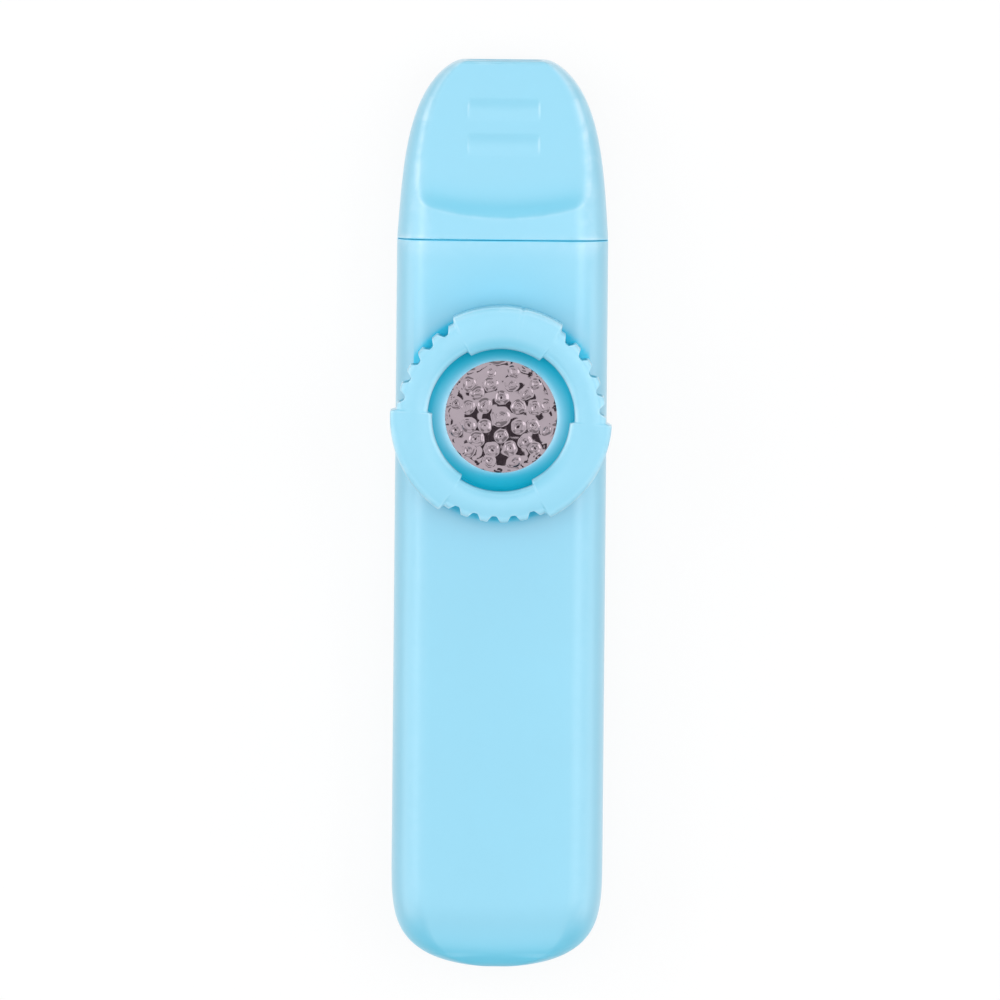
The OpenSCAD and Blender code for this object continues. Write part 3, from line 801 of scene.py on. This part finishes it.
def mouth_skin():
    """Rings from the spigot's end over its outside, along the mouthpiece to the tip and back inside.
    They are close together over the facets' steps, the ribs and the tip."""
    start_x, end_x = RIB_END_ZONE
    plan = ring_plan(0.4, 0.16, [(-end_x, -start_x, 0.12), (start_x, end_x, 0.12)])
    base = shell_section(plan, 0)
    rings = []
    inset, end_y = WALL + SPIGOT_GAP, seam_y - SPIGOT_LENGTH
    for more, on in rounding(SPIGOT_ROUND, 4):
        rings.append(at(end_y + on, shell_section(plan, inset + more)))
    rings += [at(y, shell_section(plan, inset)) for y in np.linspace(end_y + 1.2, seam_y - 0.2, 5)]
    start = seam_y + SEAM_GAP
    rings.append(at(start, shell_section(plan, inset)))
    for less, on in rounding(RIM_BEVEL, 5):
        points = mouth_ring(base, start + on)
        rings.append(at(start + on, points, 1 - less / half_width, 1 - less / mid_z))
    fine = [(seam_y + STEP_ZONE[0], seam_y + STEP_ZONE[1], 0.14), (tip_y - TIP_ZONE, tip_y, 0.1)]
    fine += [(place - RIB_ZONE, place + RIB_ZONE, 0.16) for place in rib_places]
    places = spread(start + RIM_BEVEL + 0.2, tip_y - TIP_ROUND, 0.4, fine)
    rings += [at(y, mouth_ring(base, y)) for y in places]
    for short, less in rounding(TIP_ROUND, 8):
        points = mouth_ring(base, tip_y - short)
        half_w, half_d = np.abs(points).max(0)
        rings.append(at(tip_y - short, points, 1 - less / half_w, 1 - less / half_d))
    blow = np.array([BLOW_WIDTH / 2, BLOW_HEIGHT / 2, BLOW_HEIGHT / 2 * SIDE_SHARE, 0.0])
    for wider, on in rounding(BLOW_LIP, 6):
        rings.append(at(tip_y - on, section(plan, *(blow + np.array([1, 1, 1, 0]) * wider))))
    inner = WALL + SPIGOT_GAP + SPIGOT_WALL
    entry = np.array([half_width - inner, mid_z - inner, EDGE_RADIUS - inner, CROWN])
    stations = [(-SPIGOT_LENGTH + 0.3, entry), (0.0, entry)]
    stations += [(mouth_length * t, wind_station(mouth_length * t)) for t in (0.14, 0.3, 0.5, 0.68)]
    stations.append((mouth_length - BLOW_DEPTH, blow))
    places, values = (np.array(column) for column in zip(*stations))
    for distance in np.linspace(mouth_length - 0.8, -SPIGOT_LENGTH + 0.3, 38):
        numbers = [np.interp(distance, places, values[:, k]) for k in range(4)]
        rings.append(at(seam_y + distance, section(plan, *numbers)))
    rings.append(at(end_y, shell_section(plan, inner - 0.25)))
    return loop_mesh("blowing_end_skin", rings)


STEP_SLANT, STEP_FADE, STEP_REACH, STEP_SHADE = 0.12, 0.4, 9.0, 0.2


def painted_shade_on_mouthpiece(x, y, z, normals):
    """Painted shade: a little where the facets' steps face the tip, and more inside the seam."""
    slant = rising(normals[:, 1], STEP_SLANT, STEP_FADE)
    step = slant * (1 - rising(y, seam_y + STEP_REACH - 2, 2)) * STEP_SHADE
    seam = (1 - rising(y, seam_y + SEAM_GAP, RIM_BEVEL)) * SEAM_SHADE
    return np.maximum(step, seam)


mouthpiece = mouth_skin()
smooth(mouthpiece, 40)
# The larger edge size paints the facets' edges paler: part wear, part painted highlight.
mark_wear_and_painted_light(mouthpiece, painted_shade_on_mouthpiece, 1.2)
mouthpiece.data.materials.append(mouth_plastic)
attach(mouthpiece, "blowing_end")
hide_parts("mouthpiece")
report(mouthpiece)

# %% [markdown]
# ## The tone dial
# The dial is a ring whose outline follows a rule: three smooth grip lobes, five finger scallops
# between each two of them, and inward lips that reach further under the lobes. That is a job for
# Geometry Nodes. The half section is drawn once as a line of points, each of which says how much it
# follows the outline, the lips or the bore. The tree sweeps it round and works out the three radii
# for every angle.

# %% The dial's half section
def section_line(name, rows):
    """A line of points that carry their height and how much they follow each radius."""
    piece = piece_from(name, [(0, 0, 0)] * len(rows), [])
    keys, units = ("follow_outline", "follow_lip", "shift", "height"), (1, 1, MM, MM)
    for key, unit, column in zip(keys, units, np.array(rows, np.float32).T):
        store(piece.data, key, column * unit)
    return piece


OUTER_ROUND, INNER_ROUND, ROUND_HEIGHT, LIP_THICKNESS, DIAL_CROWN = 0.8, 0.7, 0.6, 1.5, 0.2
lip_bottom = dial_top - LIP_THICKNESS
shoulder = dial_top - ROUND_HEIGHT
round_rise = ROUND_HEIGHT - DIAL_CROWN
rows = [(1, 0, -0.2, dial_bottom), (1, 0, -0.06, dial_bottom + 0.06), (1, 0, 0, dial_bottom + 0.2)]
rows += [(1, 0, 0, z) for z in np.linspace(dial_bottom + 0.6, shoulder - 0.3, 6)]
for a in np.linspace(0, math.pi / 2, 15):
    rows.append((1, 0, -OUTER_ROUND * (1 - math.cos(a)), shoulder + round_rise * math.sin(a)))
for t in np.linspace(0, 1, 16)[1:-1]:
    shift = INNER_ROUND * t - OUTER_ROUND * (1 - t)
    rows.append((1 - t, t, shift, dial_top - DIAL_CROWN * (2 * t - 1) ** 2))
for a in np.linspace(0, math.pi / 2, 12):
    rows.append((0, 1, INNER_ROUND * (1 - math.sin(a)), shoulder + round_rise * math.cos(a)))
rows += [(0, 1, 0, lip_bottom + 0.35), (0, 1, 0, lip_bottom + 0.12), (0, 1, 0.12, lip_bottom)]
rows += [(0, 0.5, 0, lip_bottom), (0, 0, 0, lip_bottom), (0, 0, 0, 20.4), (0, 0, 0, dial_bottom + 0.3)]
rows += [(0, 0, 0.3, dial_bottom), (0.5, 0, 0.05, dial_bottom)]
rows.append(rows[0])
print("points in the half section:", len(rows))


# %% [markdown]
# The tree below reads like the rule itself. `turn` is the angle from the middle of a lobe, `field`
# the angle from the middle of a field of scallops. A scallop is a round notch with upright walls: it
# gives a limit to the radius at every height. A soft minimum of radius and limit keeps the crests
# between the notches a little rounded, as the mould does.

# %% The dial's tree
def named_inputs(tree, sizes):
    """Gives a tree its geometry sockets and one named input for each size."""
    face = tree.interface
    face.new_socket("Geometry", in_out="INPUT", socket_type="NodeSocketGeometry")
    for name, value in sizes.items():
        kind = "NodeSocketInt" if isinstance(value, int) else "NodeSocketFloat"
        if isinstance(value, bpy.types.Material):
            kind = "NodeSocketMaterial"
        face.new_socket(name, in_out="INPUT", socket_type=kind)
    face.new_socket("Geometry", in_out="OUTPUT", socket_type="NodeSocketGeometry")


def start_tree(name, sizes):
    """An empty geometry tree with these inputs: its graph, and what gives an input by its name."""
    tree = bpy.data.node_groups.new(name, "GeometryNodeTree")
    named_inputs(tree, sizes)
    graph = Graph(tree)
    return graph, graph.node("NodeGroupInput").out


def finish_tree(graph, mesh, finish):
    """Gives the mesh its material, hands it out of the tree and returns the tree."""
    solid = graph.node("GeometryNodeRealizeInstances", {}, {0: mesh})
    dressed = graph.node("GeometryNodeSetMaterial", {}, {0: solid, 2: finish})
    graph.node("NodeGroupOutput", {}, {0: dressed})
    return graph.tree


def run_tree(piece, tree, sizes):
    """Runs a tree on a piece with these sizes and keeps the result as a plain mesh."""
    modifier = piece.modifiers.new(tree.name, "NODES")
    modifier.node_group = tree
    for item in tree.interface.items_tree:
        if item.in_out == "INPUT" and item.name in sizes:
            modifier[item.identifier] = sizes[item.name]
    return bake(piece)


def sampled(graph, geometry, name, index):
    """A named number of the point with this index in another geometry."""
    value = graph.node("GeometryNodeInputNamedAttribute", {"data_type": "FLOAT"}, {0: name})
    return graph.node("GeometryNodeSampleIndex", {"data_type": "FLOAT"}, {0: geometry, 1: value, 2: index})


def dial_tree(sizes):
    graph, size = start_tree("lobed_ring", sizes)
    count = size("Section points")
    grid = graph.node("GeometryNodeMeshGrid", {}, {0: 1.0, 1: 1.0, 2: size("Steps round") + 1, 3: count})
    place = graph.node("ShaderNodeSeparateXYZ", {}, {0: graph.node("GeometryNodeInputPosition")})
    angle = (place + 0.5) * (2 * math.pi)
    index = ((place.out("Y") + 0.5) * (count - 1)).do("ROUND")
    from_line = lambda name: sampled(graph, size("Geometry"), name, index)
    third = math.pi / 3
    turn = (angle - size("Rest angle")).do("WRAP", third, -third)
    field = (angle - size("Rest angle") - third).do("WRAP", third, -third)
    lobe = 1 - graph.ramp(turn.do("ABSOLUTE"), size("Lobe half angle") - size("Edge angle"),
                          size("Lobe half angle") + size("Edge angle"))
    nearest = (field / size("Scallop pitch")).do("ROUND").do("MINIMUM", 2).do("MAXIMUM", -2)
    off = field - nearest * size("Scallop pitch")
    aside = (off.do("SINE") * size("Grip radius")).do("ABSOLUTE")
    notch = 1 - graph.ramp(aside, size("Scallop root"), size("Scallop reach"))
    limit = size("Grip radius") + size("Scallop margin") + lobe * 2 * MM - notch * (
        size("Scallop depth") + size("Scallop margin"))
    nick = (angle - size("Nick angle")) / size("Nick width")
    dent = (0 - nick * nick).do("EXPONENT") * size("Nick depth")
    outline = size("Grip radius") + lobe * size("Lobe rise") - dent
    lip = size("Wide lip radius") - lobe * size("Lip step")
    outer, inner = from_line("follow_outline"), from_line("follow_lip")
    radius = outer * outline + inner * lip + (1 - outer - inner) * size("Bore radius") + from_line("shift")
    radius = radius.do("SMOOTH_MIN", limit, size("Edge softness"))
    point = graph.node("ShaderNodeCombineXYZ", {}, {
        0: radius * angle.do("COSINE"), 1: radius * angle.do("SINE") + size("Axis place"),
        2: from_line("height")})
    moved = graph.node("GeometryNodeSetPosition", {}, {0: grid, 2: point})
    joined = graph.node("GeometryNodeMergeByDistance", {}, {0: moved, 2: 0.002 * MM})
    return finish_tree(graph, joined, size("Finish"))


GRIP_R = 14.41
dial_sizes = {
    "Section points": len(rows), "Steps round": 1620, "Axis place": dial_y * MM,
    "Rest angle": math.radians(86.5), "Lobe half angle": math.radians(30.25), "Edge angle": math.radians(0.9),
    "Grip radius": GRIP_R * MM, "Lobe rise": 0.85 * MM, "Bore radius": 12.08 * MM,
    "Wide lip radius": 10.12 * MM, "Lip step": 0.65 * MM,
    "Scallop pitch": math.radians(11.125), "Scallop root": 0.2 * MM, "Scallop reach": 1.3 * MM,
    "Scallop depth": 0.87 * MM, "Scallop margin": 0.35 * MM, "Edge softness": 0.2 * MM,
    "Nick angle": math.radians(78.9), "Nick width": math.radians(0.9), "Nick depth": 0.16 * MM,
    "Finish": dial_plastic,
}
dial = run_tree(section_line("dial_ring", rows), dial_tree(dial_sizes), dial_sizes)


def face_outward(piece):
    """Turns the faces of a closed piece outward, if need be."""
    work = bmesh.new()
    work.from_mesh(piece.data)
    bmesh.ops.remove_doubles(work, verts=work.verts, dist=1e-6)
    if work.calc_volume(signed=True) < 0:
        bmesh.ops.reverse_faces(work, faces=work.faces)
    open_edges = sum(1 for e in work.edges if not e.is_manifold)
    work.to_mesh(piece.data)
    work.free()
    print(piece.name, "open or doubled edges:", open_edges)


ROOT_R, LIP_ZONE_R, LIP_FADE, LIP_SHADE = 13.2, 11.3, 1.4, 0.45


def painted_shade_on_dial(x, y, z, normals):
    """Painted shade on the upright walls of the scallops, more lower down, and a little where the
    dial's two ends, which face along the instrument, round off towards the film."""
    away = np.hypot(x, y - dial_y)
    cut = rising(away, ROOT_R, 0.1) * (1 - rising(away, GRIP_R - 0.33, 0.25))
    walls = cut * (1 - rising(z, shoulder - 0.35, 0.7))
    towards_film = (1 - rising(away, LIP_ZONE_R - LIP_FADE, LIP_FADE)) * ((y - dial_y) / away) ** 2
    return np.maximum(walls, towards_film * LIP_SHADE)


face_outward(dial)
smooth(dial, 40)
mark_wear_and_painted_light(dial, painted_shade_on_dial, at_ends=0.8)
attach(dial, "dial")
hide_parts("tone_dial")
report(dial)

# %% [markdown]
# ## The presser
# Under the dial's lips sits a ring that presses on the film's hoop. What shows of it is the hollow
# bowl that leads down to the film. It can't turn, because three keys on its skirt run in slots of
# the turret, so it is turned as one half section and the keys are joined to it.

# %% Turn the presser
WINDOW_R, BOWL_R, BOWL_OUTER_R, FLANGE_R, SKIRT_R = 7.7, 8.0, 10.25, 11.96, 10.54
BOWL_DEPTH, BOWL_ARC, WINDOW_RIM, FOOT_WIDTH = 2.3, math.radians(60), 0.3, 1.4
KEY_DEPTH, KEY_WIDTH = 0.7, 2.4
bowl_bottom, flange_bottom = flange_top - BOWL_DEPTH, flange_top - 0.9
rim_bottom = bowl_bottom - WINDOW_RIM
bowl_wide = (BOWL_OUTER_R - BOWL_R) / (1 - math.cos(BOWL_ARC))
bowl_high = BOWL_DEPTH / math.sin(BOWL_ARC)
bowl = [(BOWL_OUTER_R - bowl_wide * (1 - math.cos(a)), flange_top - bowl_high * math.sin(a), 0)
        for a in np.linspace(0, BOWL_ARC, 30)]
presser_section = rounded(
    [(SKIRT_R, drum_top, 0.1), (SKIRT_R, flange_bottom, 0.1), (FLANGE_R, flange_bottom, CORNER),
     (FLANGE_R, flange_top, CORNER)] + bowl +
    [(WINDOW_R, bowl_bottom - WINDOW_RIM / 2, 0.06), (WINDOW_R, rim_bottom, 0.05),
     (SKIRT_R - FOOT_WIDTH, rim_bottom, 0.1), (SKIRT_R - FOOT_WIDTH, drum_top, 0.1)], 4)
presser = turned("presser_bowl", presser_section, 288)
keys = key_blocks("key_solid", SKIRT_R - KEY_DEPTH, SKIRT_R + KEY_DEPTH, KEY_WIDTH,
                  rim_bottom, flange_bottom + 0.05)
carve(presser, keys, "UNION")

# %% Painted shade and finish of the presser
OPEN_R, FADE_SIDEWAYS, FADE_LENGTHWAYS = 7.75, 0.92, 0.42


def painted_shade_in_bowl(x, y, z, normals):
    """Painted shade in the bowl: none by the film, more under the dial's lips, most at its two ends,
    and a little less on its left side.
    """
    away = np.hypot(x, y - dial_y)
    lengthways = ((y - dial_y) / away) ** 2
    out = np.maximum(away - OPEN_R + 0.2 * lengthways + 0.1 * x / away, 0)
    return 1 - np.exp(-out / (FADE_SIDEWAYS + (FADE_LENGTHWAYS - FADE_SIDEWAYS) * lengthways))


smooth(presser)
mark_wear_and_painted_light(presser, painted_shade_in_bowl)
presser.data.materials.clear()
presser.data.materials.append(presser_plastic)
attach(presser, "tension_set")
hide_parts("presser")
report(presser)

# %% [markdown]
# ## The embossed film
# The membrane is thin metallised film, stretched over the drum's rim. Its dots are pressed in from
# below and have a dimple in the middle, and between them the film is slightly crinkled, so that it
# throws back a jumble of light and dark. It bulges a little in the middle, and along its border it
# rises raggedly towards the presser's window. The dots are a plain list of points with a size each.
# A Geometry Nodes tree lays a fine grid over the drum, asks for the nearest dot at every grid point
# and lifts the film by the dot's rule.

# %% Dots of the film
FILM_THICKNESS, MIDDLE_DOT = 0.1, 1.45
DOT_RINGS = ((6, 2.65, 1.02, 30), (12, 4.7, 1.1, 15), (12, 6.4, 1.05, 15))
film_r = DRUM_R + FILM_THICKNESS
film_z = drum_top + FILM_THICKNESS
rng = np.random.default_rng(7)
dots = [(0.0, 0.0, MIDDLE_DOT)]
for count, radius, size, first in DOT_RINGS:
    for k in range(count):
        a = math.radians(first + 360 * k / count + rng.uniform(-2.5, 2.5))
        r = radius + rng.uniform(-0.12, 0.12)
        dots.append((r * math.cos(a), r * math.sin(a), size * rng.uniform(0.9, 1.08)))
lifts = [rng.uniform(0.75, 1.2) * (1.25 - 0.09 * math.hypot(x, y)) for x, y, _ in dots]
film = piece_from("embossed_film", [(x, y, 0) for x, y, _ in dots], [])
store(film.data, "reach", np.array([size for _, _, size in dots], np.float32) * MM)
store(film.data, "lift", lifts)
print("dots:", len(dots))


# %% The film's tree
PULL_SCALE, CRINKLE_SCALE, CREASE_SCALE, TARNISH_SCALE = 620.0, 480.0, 1500.0, 420.0


def film_tree(sizes):
    graph, size = start_tree("embossed_sheet", sizes)
    grid = graph.node("GeometryNodeMeshGrid", {}, {0: 2.0, 1: 2.0, 2: size("Steps"), 3: size("Steps")})
    here = graph.node("ShaderNodeSeparateXYZ", {}, {0: graph.node("GeometryNodeInputPosition")})
    a, b = here, here.out("Y")
    x = a * (1 - b * b / 2).do("SQRT") * size("Radius")
    y = b * (1 - a * a / 2).do("SQRT") * size("Radius")
    flat = graph.node("ShaderNodeCombineXYZ", {}, {0: x, 1: y})
    nearest = graph.node("GeometryNodeSampleNearest", {}, {0: size("Geometry"), 1: flat})
    centre = graph.node("GeometryNodeSampleIndex", {"data_type": "FLOAT_VECTOR"},
                        {0: size("Geometry"), 1: graph.node("GeometryNodeInputPosition"), 2: nearest})
    pull = graph.vector("SUBTRACT", graph.noise(flat, PULL_SCALE, 1.0, out="Color"), (0.5, 0.5, 0.5))
    pull = graph.vector("MULTIPLY", graph.vector("SCALE", pull, Scale=size("Pull")), (1, 1, 0))
    away = graph.vector("DISTANCE", graph.vector("ADD", flat, pull), centre, out="Value")
    d = away / sampled(graph, size("Geometry"), "reach", nearest)
    dome = (1 - graph.ramp(d, 0.45, 1.0)) * sampled(graph, size("Geometry"), "lift", nearest)
    dimple = 1 - graph.ramp(d, 0.2, 0.52)
    r = (x * x + y * y).do("SQRT")
    calm = 1 - graph.ramp(r, size("Window") - 0.2 * MM, size("Window") + 0.3 * MM)
    crinkle = graph.noise(flat, CRINKLE_SCALE, 1.0, Roughness=0.4)
    bulge = (1 - (r / size("Window")) ** 2).do("MAXIMUM", 0) * size("Bulge")
    raised = (dome * size("Dot height") - dimple * size("Dimple depth")) * calm + bulge
    raised = raised + (crinkle - 0.5) * size("Crinkle") * calm
    ragged = r + (crinkle - 0.5) * size("Border ragged")
    border = graph.ramp(ragged, size("Window") - size("Border width"), size("Window") + size("Border width"))
    hidden = graph.ramp(r, size("Window") + 0.05 * MM, size("Window") + 0.5 * MM)
    raised = raised + border * (1 - hidden) * size("Border rise")
    edge = (r - size("Radius") + size("Edge round")).do("MAXIMUM", 0) / size("Edge round")
    droop = 1 - (1 - edge * edge).do("MAXIMUM", 0).do("SQRT")
    z = size("Top") + raised - droop * size("Edge round")
    point = graph.node("ShaderNodeCombineXYZ", {}, {0: x, 1: y + size("Axis place"), 2: z})
    moved = graph.node("GeometryNodeSetPosition", {}, {0: grid, 2: point})
    return finish_tree(graph, moved, size("Finish"))


# %% [markdown]
# The finish is vapour-thin aluminium on plastic film: a real metal to the shader, pinkish grey, with
# fine creases that are too small for the mesh.

# %% The film's finish
def metallised_film():
    material, graph = start_material("metallised_film")
    place = graph.node("ShaderNodeTexCoord", out="Object")
    crease = graph.noise(place, CREASE_SCALE, 3.0, Distortion=1.2)
    tarnish = graph.noise(place, TARNISH_SCALE)
    tone = graph.mix(tarnish, colour4(0.160, 0.136, 0.152), colour4(0.188, 0.16, 0.178))
    finish_surface(graph, graph.node("ShaderNodeBsdfPrincipled", {}, {
        "Base Color": tone, "Metallic": 1.0, "Roughness": 0.03 + crease * 0.05,
        "Normal": graph.bump(crease * 0.002, 0.4)}))
    return material


film_sizes = {
    "Steps": 236, "Radius": film_r * MM, "Window": WINDOW_R * MM, "Top": film_z * MM,
    "Axis place": dial_y * MM, "Dot height": 0.14 * MM, "Dimple depth": 0.07 * MM, "Crinkle": 0.12 * MM,
    "Pull": 0.75 * MM, "Bulge": 0.2 * MM, "Border width": 0.75 * MM, "Border rise": 0.15 * MM,
    "Border ragged": 2.5 * MM, "Edge round": 0.15 * MM, "Finish": metallised_film(),
}
run_tree(film, film_tree(film_sizes), film_sizes)


# %% [markdown]
# The sheet's open edge is folded down round the drum and back up inside the fold, then closed
# underneath, so the film is a thin solid and not a loose surface.

# %% Fold the film's edge
FOLD = 0.98


def pull_rim(work, edges, radius, z):
    """Extrudes a rim to another radius and height, and returns the new rim."""
    axis = np.array([0.0, dial_y * MM])
    made = bmesh.ops.extrude_edge_only(work, edges=edges)["geom"]
    for v in (g for g in made if isinstance(g, bmesh.types.BMVert)):
        away = np.array(v.co[:2]) - axis
        away *= radius * MM / np.linalg.norm(away)
        v.co = (axis[0] + away[0], axis[1] + away[1], z * MM)
    return [g for g in made if isinstance(g, bmesh.types.BMEdge)]


def fold_edge(piece):
    """Folds the film's edge down, back up and closes it underneath."""
    work = bmesh.new()
    work.from_mesh(piece.data)
    rim = [e for e in work.edges if e.is_boundary]
    for radius, z in ((film_r, drum_top - FOLD), (DRUM_R, drum_top - FOLD), (DRUM_R, drum_top)):
        rim = pull_rim(work, rim, radius, z)
    bmesh.ops.edgeloop_fill(work, edges=rim)
    bmesh.ops.recalc_face_normals(work, faces=work.faces)
    work.to_mesh(piece.data)
    work.free()


fold_edge(film)
face_outward(film)
smooth(film, 50)
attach(film, "housing")
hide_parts("membrane")
report(film)

# %% [markdown]
# ## The two small rings
# The hoop that holds the film and the soft ring that pushes it up keep their CAD solids, because
# plain turned rings are what they are. They get a moulded white plastic and a grey rubber.

# %% Finishes of the hoop and the seat ring
def plain_finish(name, colour, roughness, grain_scale, grain):
    material, graph = start_material(name)
    place = graph.node("ShaderNodeTexCoord", out="Object")
    cloud = graph.noise(place, 260.0, 3.0)
    tone = graph.mix(cloud, tinted(colour, 0.9), tinted(colour, 1.06))
    finish_surface(graph, graph.node("ShaderNodeBsdfPrincipled", {}, {
        "Base Color": tone, "Roughness": roughness + (cloud - 0.5) * 0.1,
        "Normal": graph.bump(graph.noise(place, grain_scale) * grain)}))
    return material


hoop_white = plain_finish("white_hoop", (0.74, 0.74, 0.70), 0.45, 4200.0, 0.004)
seal_grey = plain_finish("grey_seal_rubber", (0.035, 0.035, 0.042), 0.75, 7000.0, 0.01)
for node, material in (("membrane_hoop", hoop_white), ("seat_ring", seal_grey)):
    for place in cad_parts[node].material_slots:
        place.material = material
print("finished CAD rings:", hoop_white.name, seal_grey.name)

# %% [markdown]
# ## Floor and sky
# The photograph has a white ground. The floor is matt white, and what the camera sees of it is
# mostly its own even white with a little of the real light and shadow mixed in, so the object's
# contact shadow stays. Mirror rays get the same, so the metallised film reflects a white studio.

# %% Stage
FLOOR_HALF, FLOOR_GLOW, AMBIENT = 2500, 0.88, 0.24


def seen_directly(graph):
    """1 for rays from the camera, off mirrors and through glass, and 0 for the light's own rays."""
    ray = graph.node("ShaderNodeLightPath", out="Is Camera Ray")
    return ray.do("MAXIMUM", ray.out("Is Glossy Ray")).do("MAXIMUM", ray.out("Is Transmission Ray"))


def white_floor():
    material, graph = start_material("studio_floor")
    place = graph.node("ShaderNodeTexCoord", out="Object")
    paper = graph.mix(graph.noise(place, 3.0), colour4(0.86, 0.86, 0.86), colour4(0.9, 0.9, 0.9))
    matt = graph.node("ShaderNodeBsdfDiffuse", {}, {"Color": paper})
    glow = graph.node("ShaderNodeEmission", {}, {"Color": colour4(1, 1, 1), "Strength": 1.0})
    share = seen_directly(graph) * FLOOR_GLOW
    finish_surface(graph, graph.node("ShaderNodeMixShader", {}, {0: share, 1: matt, 2: glow}))
    return material


floor = piece_from("floor", [(x * FLOOR_HALF, y * FLOOR_HALF, 0)
                             for x, y in ((-1, -1), (1, -1), (1, 1), (-1, 1))], [(0, 1, 2, 3)])
floor.data.materials.append(white_floor())

world = bpy.data.worlds.new("studio_air")
world.use_nodes = True
world.node_tree.nodes.clear()
sky = Graph(world.node_tree)
level = AMBIENT + seen_directly(sky) * (1 - AMBIENT)
sky.node("ShaderNodeOutputWorld", {}, {"Surface": sky.node(
    "ShaderNodeBackground", {}, {"Color": colour4(1, 1, 1), "Strength": level})})
bpy.context.scene.world = world

# %% [markdown]
# ## Lights and the dark card
# The plastic is light blue under a broad white shine, and wherever the shine is missing the colour
# turns deeper: on the tail's end, in the bowl and along the step of the mouthpiece, which all face
# along the instrument. So the soft boxes form an arch across it, from the left over the top to the
# right, and only one box at each end fills in, so that the tail and the tip don't go dull. A brighter
# strip in each side of the arch draws the pale bands where the long edges begin to round off. The
# film's flat places mirror what is straight above them, which in the photograph is dark, so a small
# dark grey card hangs there. It throws no shadow.

# %% Lamps and card
ARCH = 1.5
LEFT, RIGHT, TO_TIP, TO_TAIL = 180, 0, 90, 270
LAMPS = (  # name, azimuth, tilt, distance and size in metres, share of the arch's brightness, shift
    ("left_high", LEFT, 36, 1.0, (0.45, 0.7), 1.0, 0.0),
    ("left_low", LEFT, 70, 1.2, (0.8, 1.4), 0.95, 0.0),
    ("left_strip", LEFT, 42, 0.98, (0.22, 1.0), 1.5, 0.4),
    ("right_high", RIGHT, 36, 1.0, (0.45, 0.7), 1.0, 0.0),
    ("right_low", RIGHT, 70, 1.2, (0.8, 1.4), 0.95, 0.0),
    ("right_strip", RIGHT, 29, 0.98, (0.22, 1.0), 1.5, 0.4),
    ("overhead", TO_TIP, 4, 1.1, (0.9, 0.85), 1.0, 0.0),
    ("tail_fill", TO_TAIL, 44, 1.2, (0.7, 0.6), 0.95, 0.0),
    ("mouth_fill", TO_TIP, 72, 1.2, (0.6, 1.0), 0.85, 0.0),
)


def soft_box(name, azimuth, tilt, distance, size, radiance, along):
    """A rectangular lamp at a tilt off the vertical, facing the object, or shifted along beside it."""
    lamp = bpy.data.lights.new(name, "AREA")
    lamp.shape = "RECTANGLE"
    lamp.size, lamp.size_y = size
    lamp.energy = radiance * math.pi * size[0] * size[1]
    body = linked(name, lamp)
    a, t = math.radians(azimuth), math.radians(tilt)
    body.location = (distance * math.sin(t) * math.cos(a), distance * math.sin(t) * math.sin(a) + along,
                     distance * math.cos(t))
    body.rotation_euler = (0, t, a)
    body.visible_camera = False


for name, azimuth, tilt, distance, size, share, along in LAMPS:
    soft_box(name, azimuth, tilt, distance, size, share * ARCH, along)
print("lamps:", len(LAMPS))

VIEW_TILT, CARD_TILT = math.radians(3.0), math.radians(5.0)
CARD_HEIGHT, CARD_HALF = 900.0, 62.0
card_y = dial_y - CARD_HEIGHT * math.tan(CARD_TILT)
card = piece_from("dark_card", [(x * CARD_HALF, card_y + y * CARD_HALF, CARD_HEIGHT)
                                for x, y in ((-1, -1), (-1, 1), (1, 1), (1, -1))], [(0, 1, 2, 3)])
card_grey, card_graph = start_material("dark_card")
finish_surface(card_graph, card_graph.node("ShaderNodeBsdfDiffuse", {}, {"Color": colour4(0.2, 0.17, 0.19)}))
card.data.materials.append(card_grey)
card.visible_camera = card.visible_shadow = False

# %% [markdown]
# ## The camera
# The photograph was taken with a long lens from almost straight above, a few degrees from the side
# of the mouthpiece: the film sits a little high in its bowl, and the shell gets a trace narrower
# towards the tail. The object leans half a degree, so the camera is rolled by as much.

# %% Camera
LENS, SENSOR, MM_PER_PIXEL, LEAN = 800.0, 36.0, 0.13804, math.radians(0.53)
HALF_PICTURE, OBJECT_X, OBJECT_Y = 500, 500.2, 512.5
reach = MM_PER_PIXEL * HALF_PICTURE / (SENSOR / 2 / LENS)
camera_data = bpy.data.cameras.new("copy_stand")
camera_data.lens, camera_data.sensor_width = LENS, SENSOR
camera_data.clip_start, camera_data.clip_end = 0.1, 30
camera = linked("copy_stand", camera_data)
level_right = Vector((1, 0, 0))
level_up = Vector((0, math.cos(VIEW_TILT), -math.sin(VIEW_TILT)))
right = level_right * math.cos(LEAN) + level_up * math.sin(LEAN)
up = level_up * math.cos(LEAN) - level_right * math.sin(LEAN)
back = right.cross(up)
middle = Vector((0, 0, mid_z)) + right * (HALF_PICTURE - OBJECT_X) * MM_PER_PIXEL
middle += up * (OBJECT_Y - HALF_PICTURE) * MM_PER_PIXEL
camera.location = (middle + back * reach) * MM
camera.rotation_euler = Matrix((right, up, back)).transposed().to_euler()
bpy.context.scene.camera = camera
bpy.context.scene.view_settings.view_transform = "Standard"
print(f"camera {reach:.0f} mm from the object")
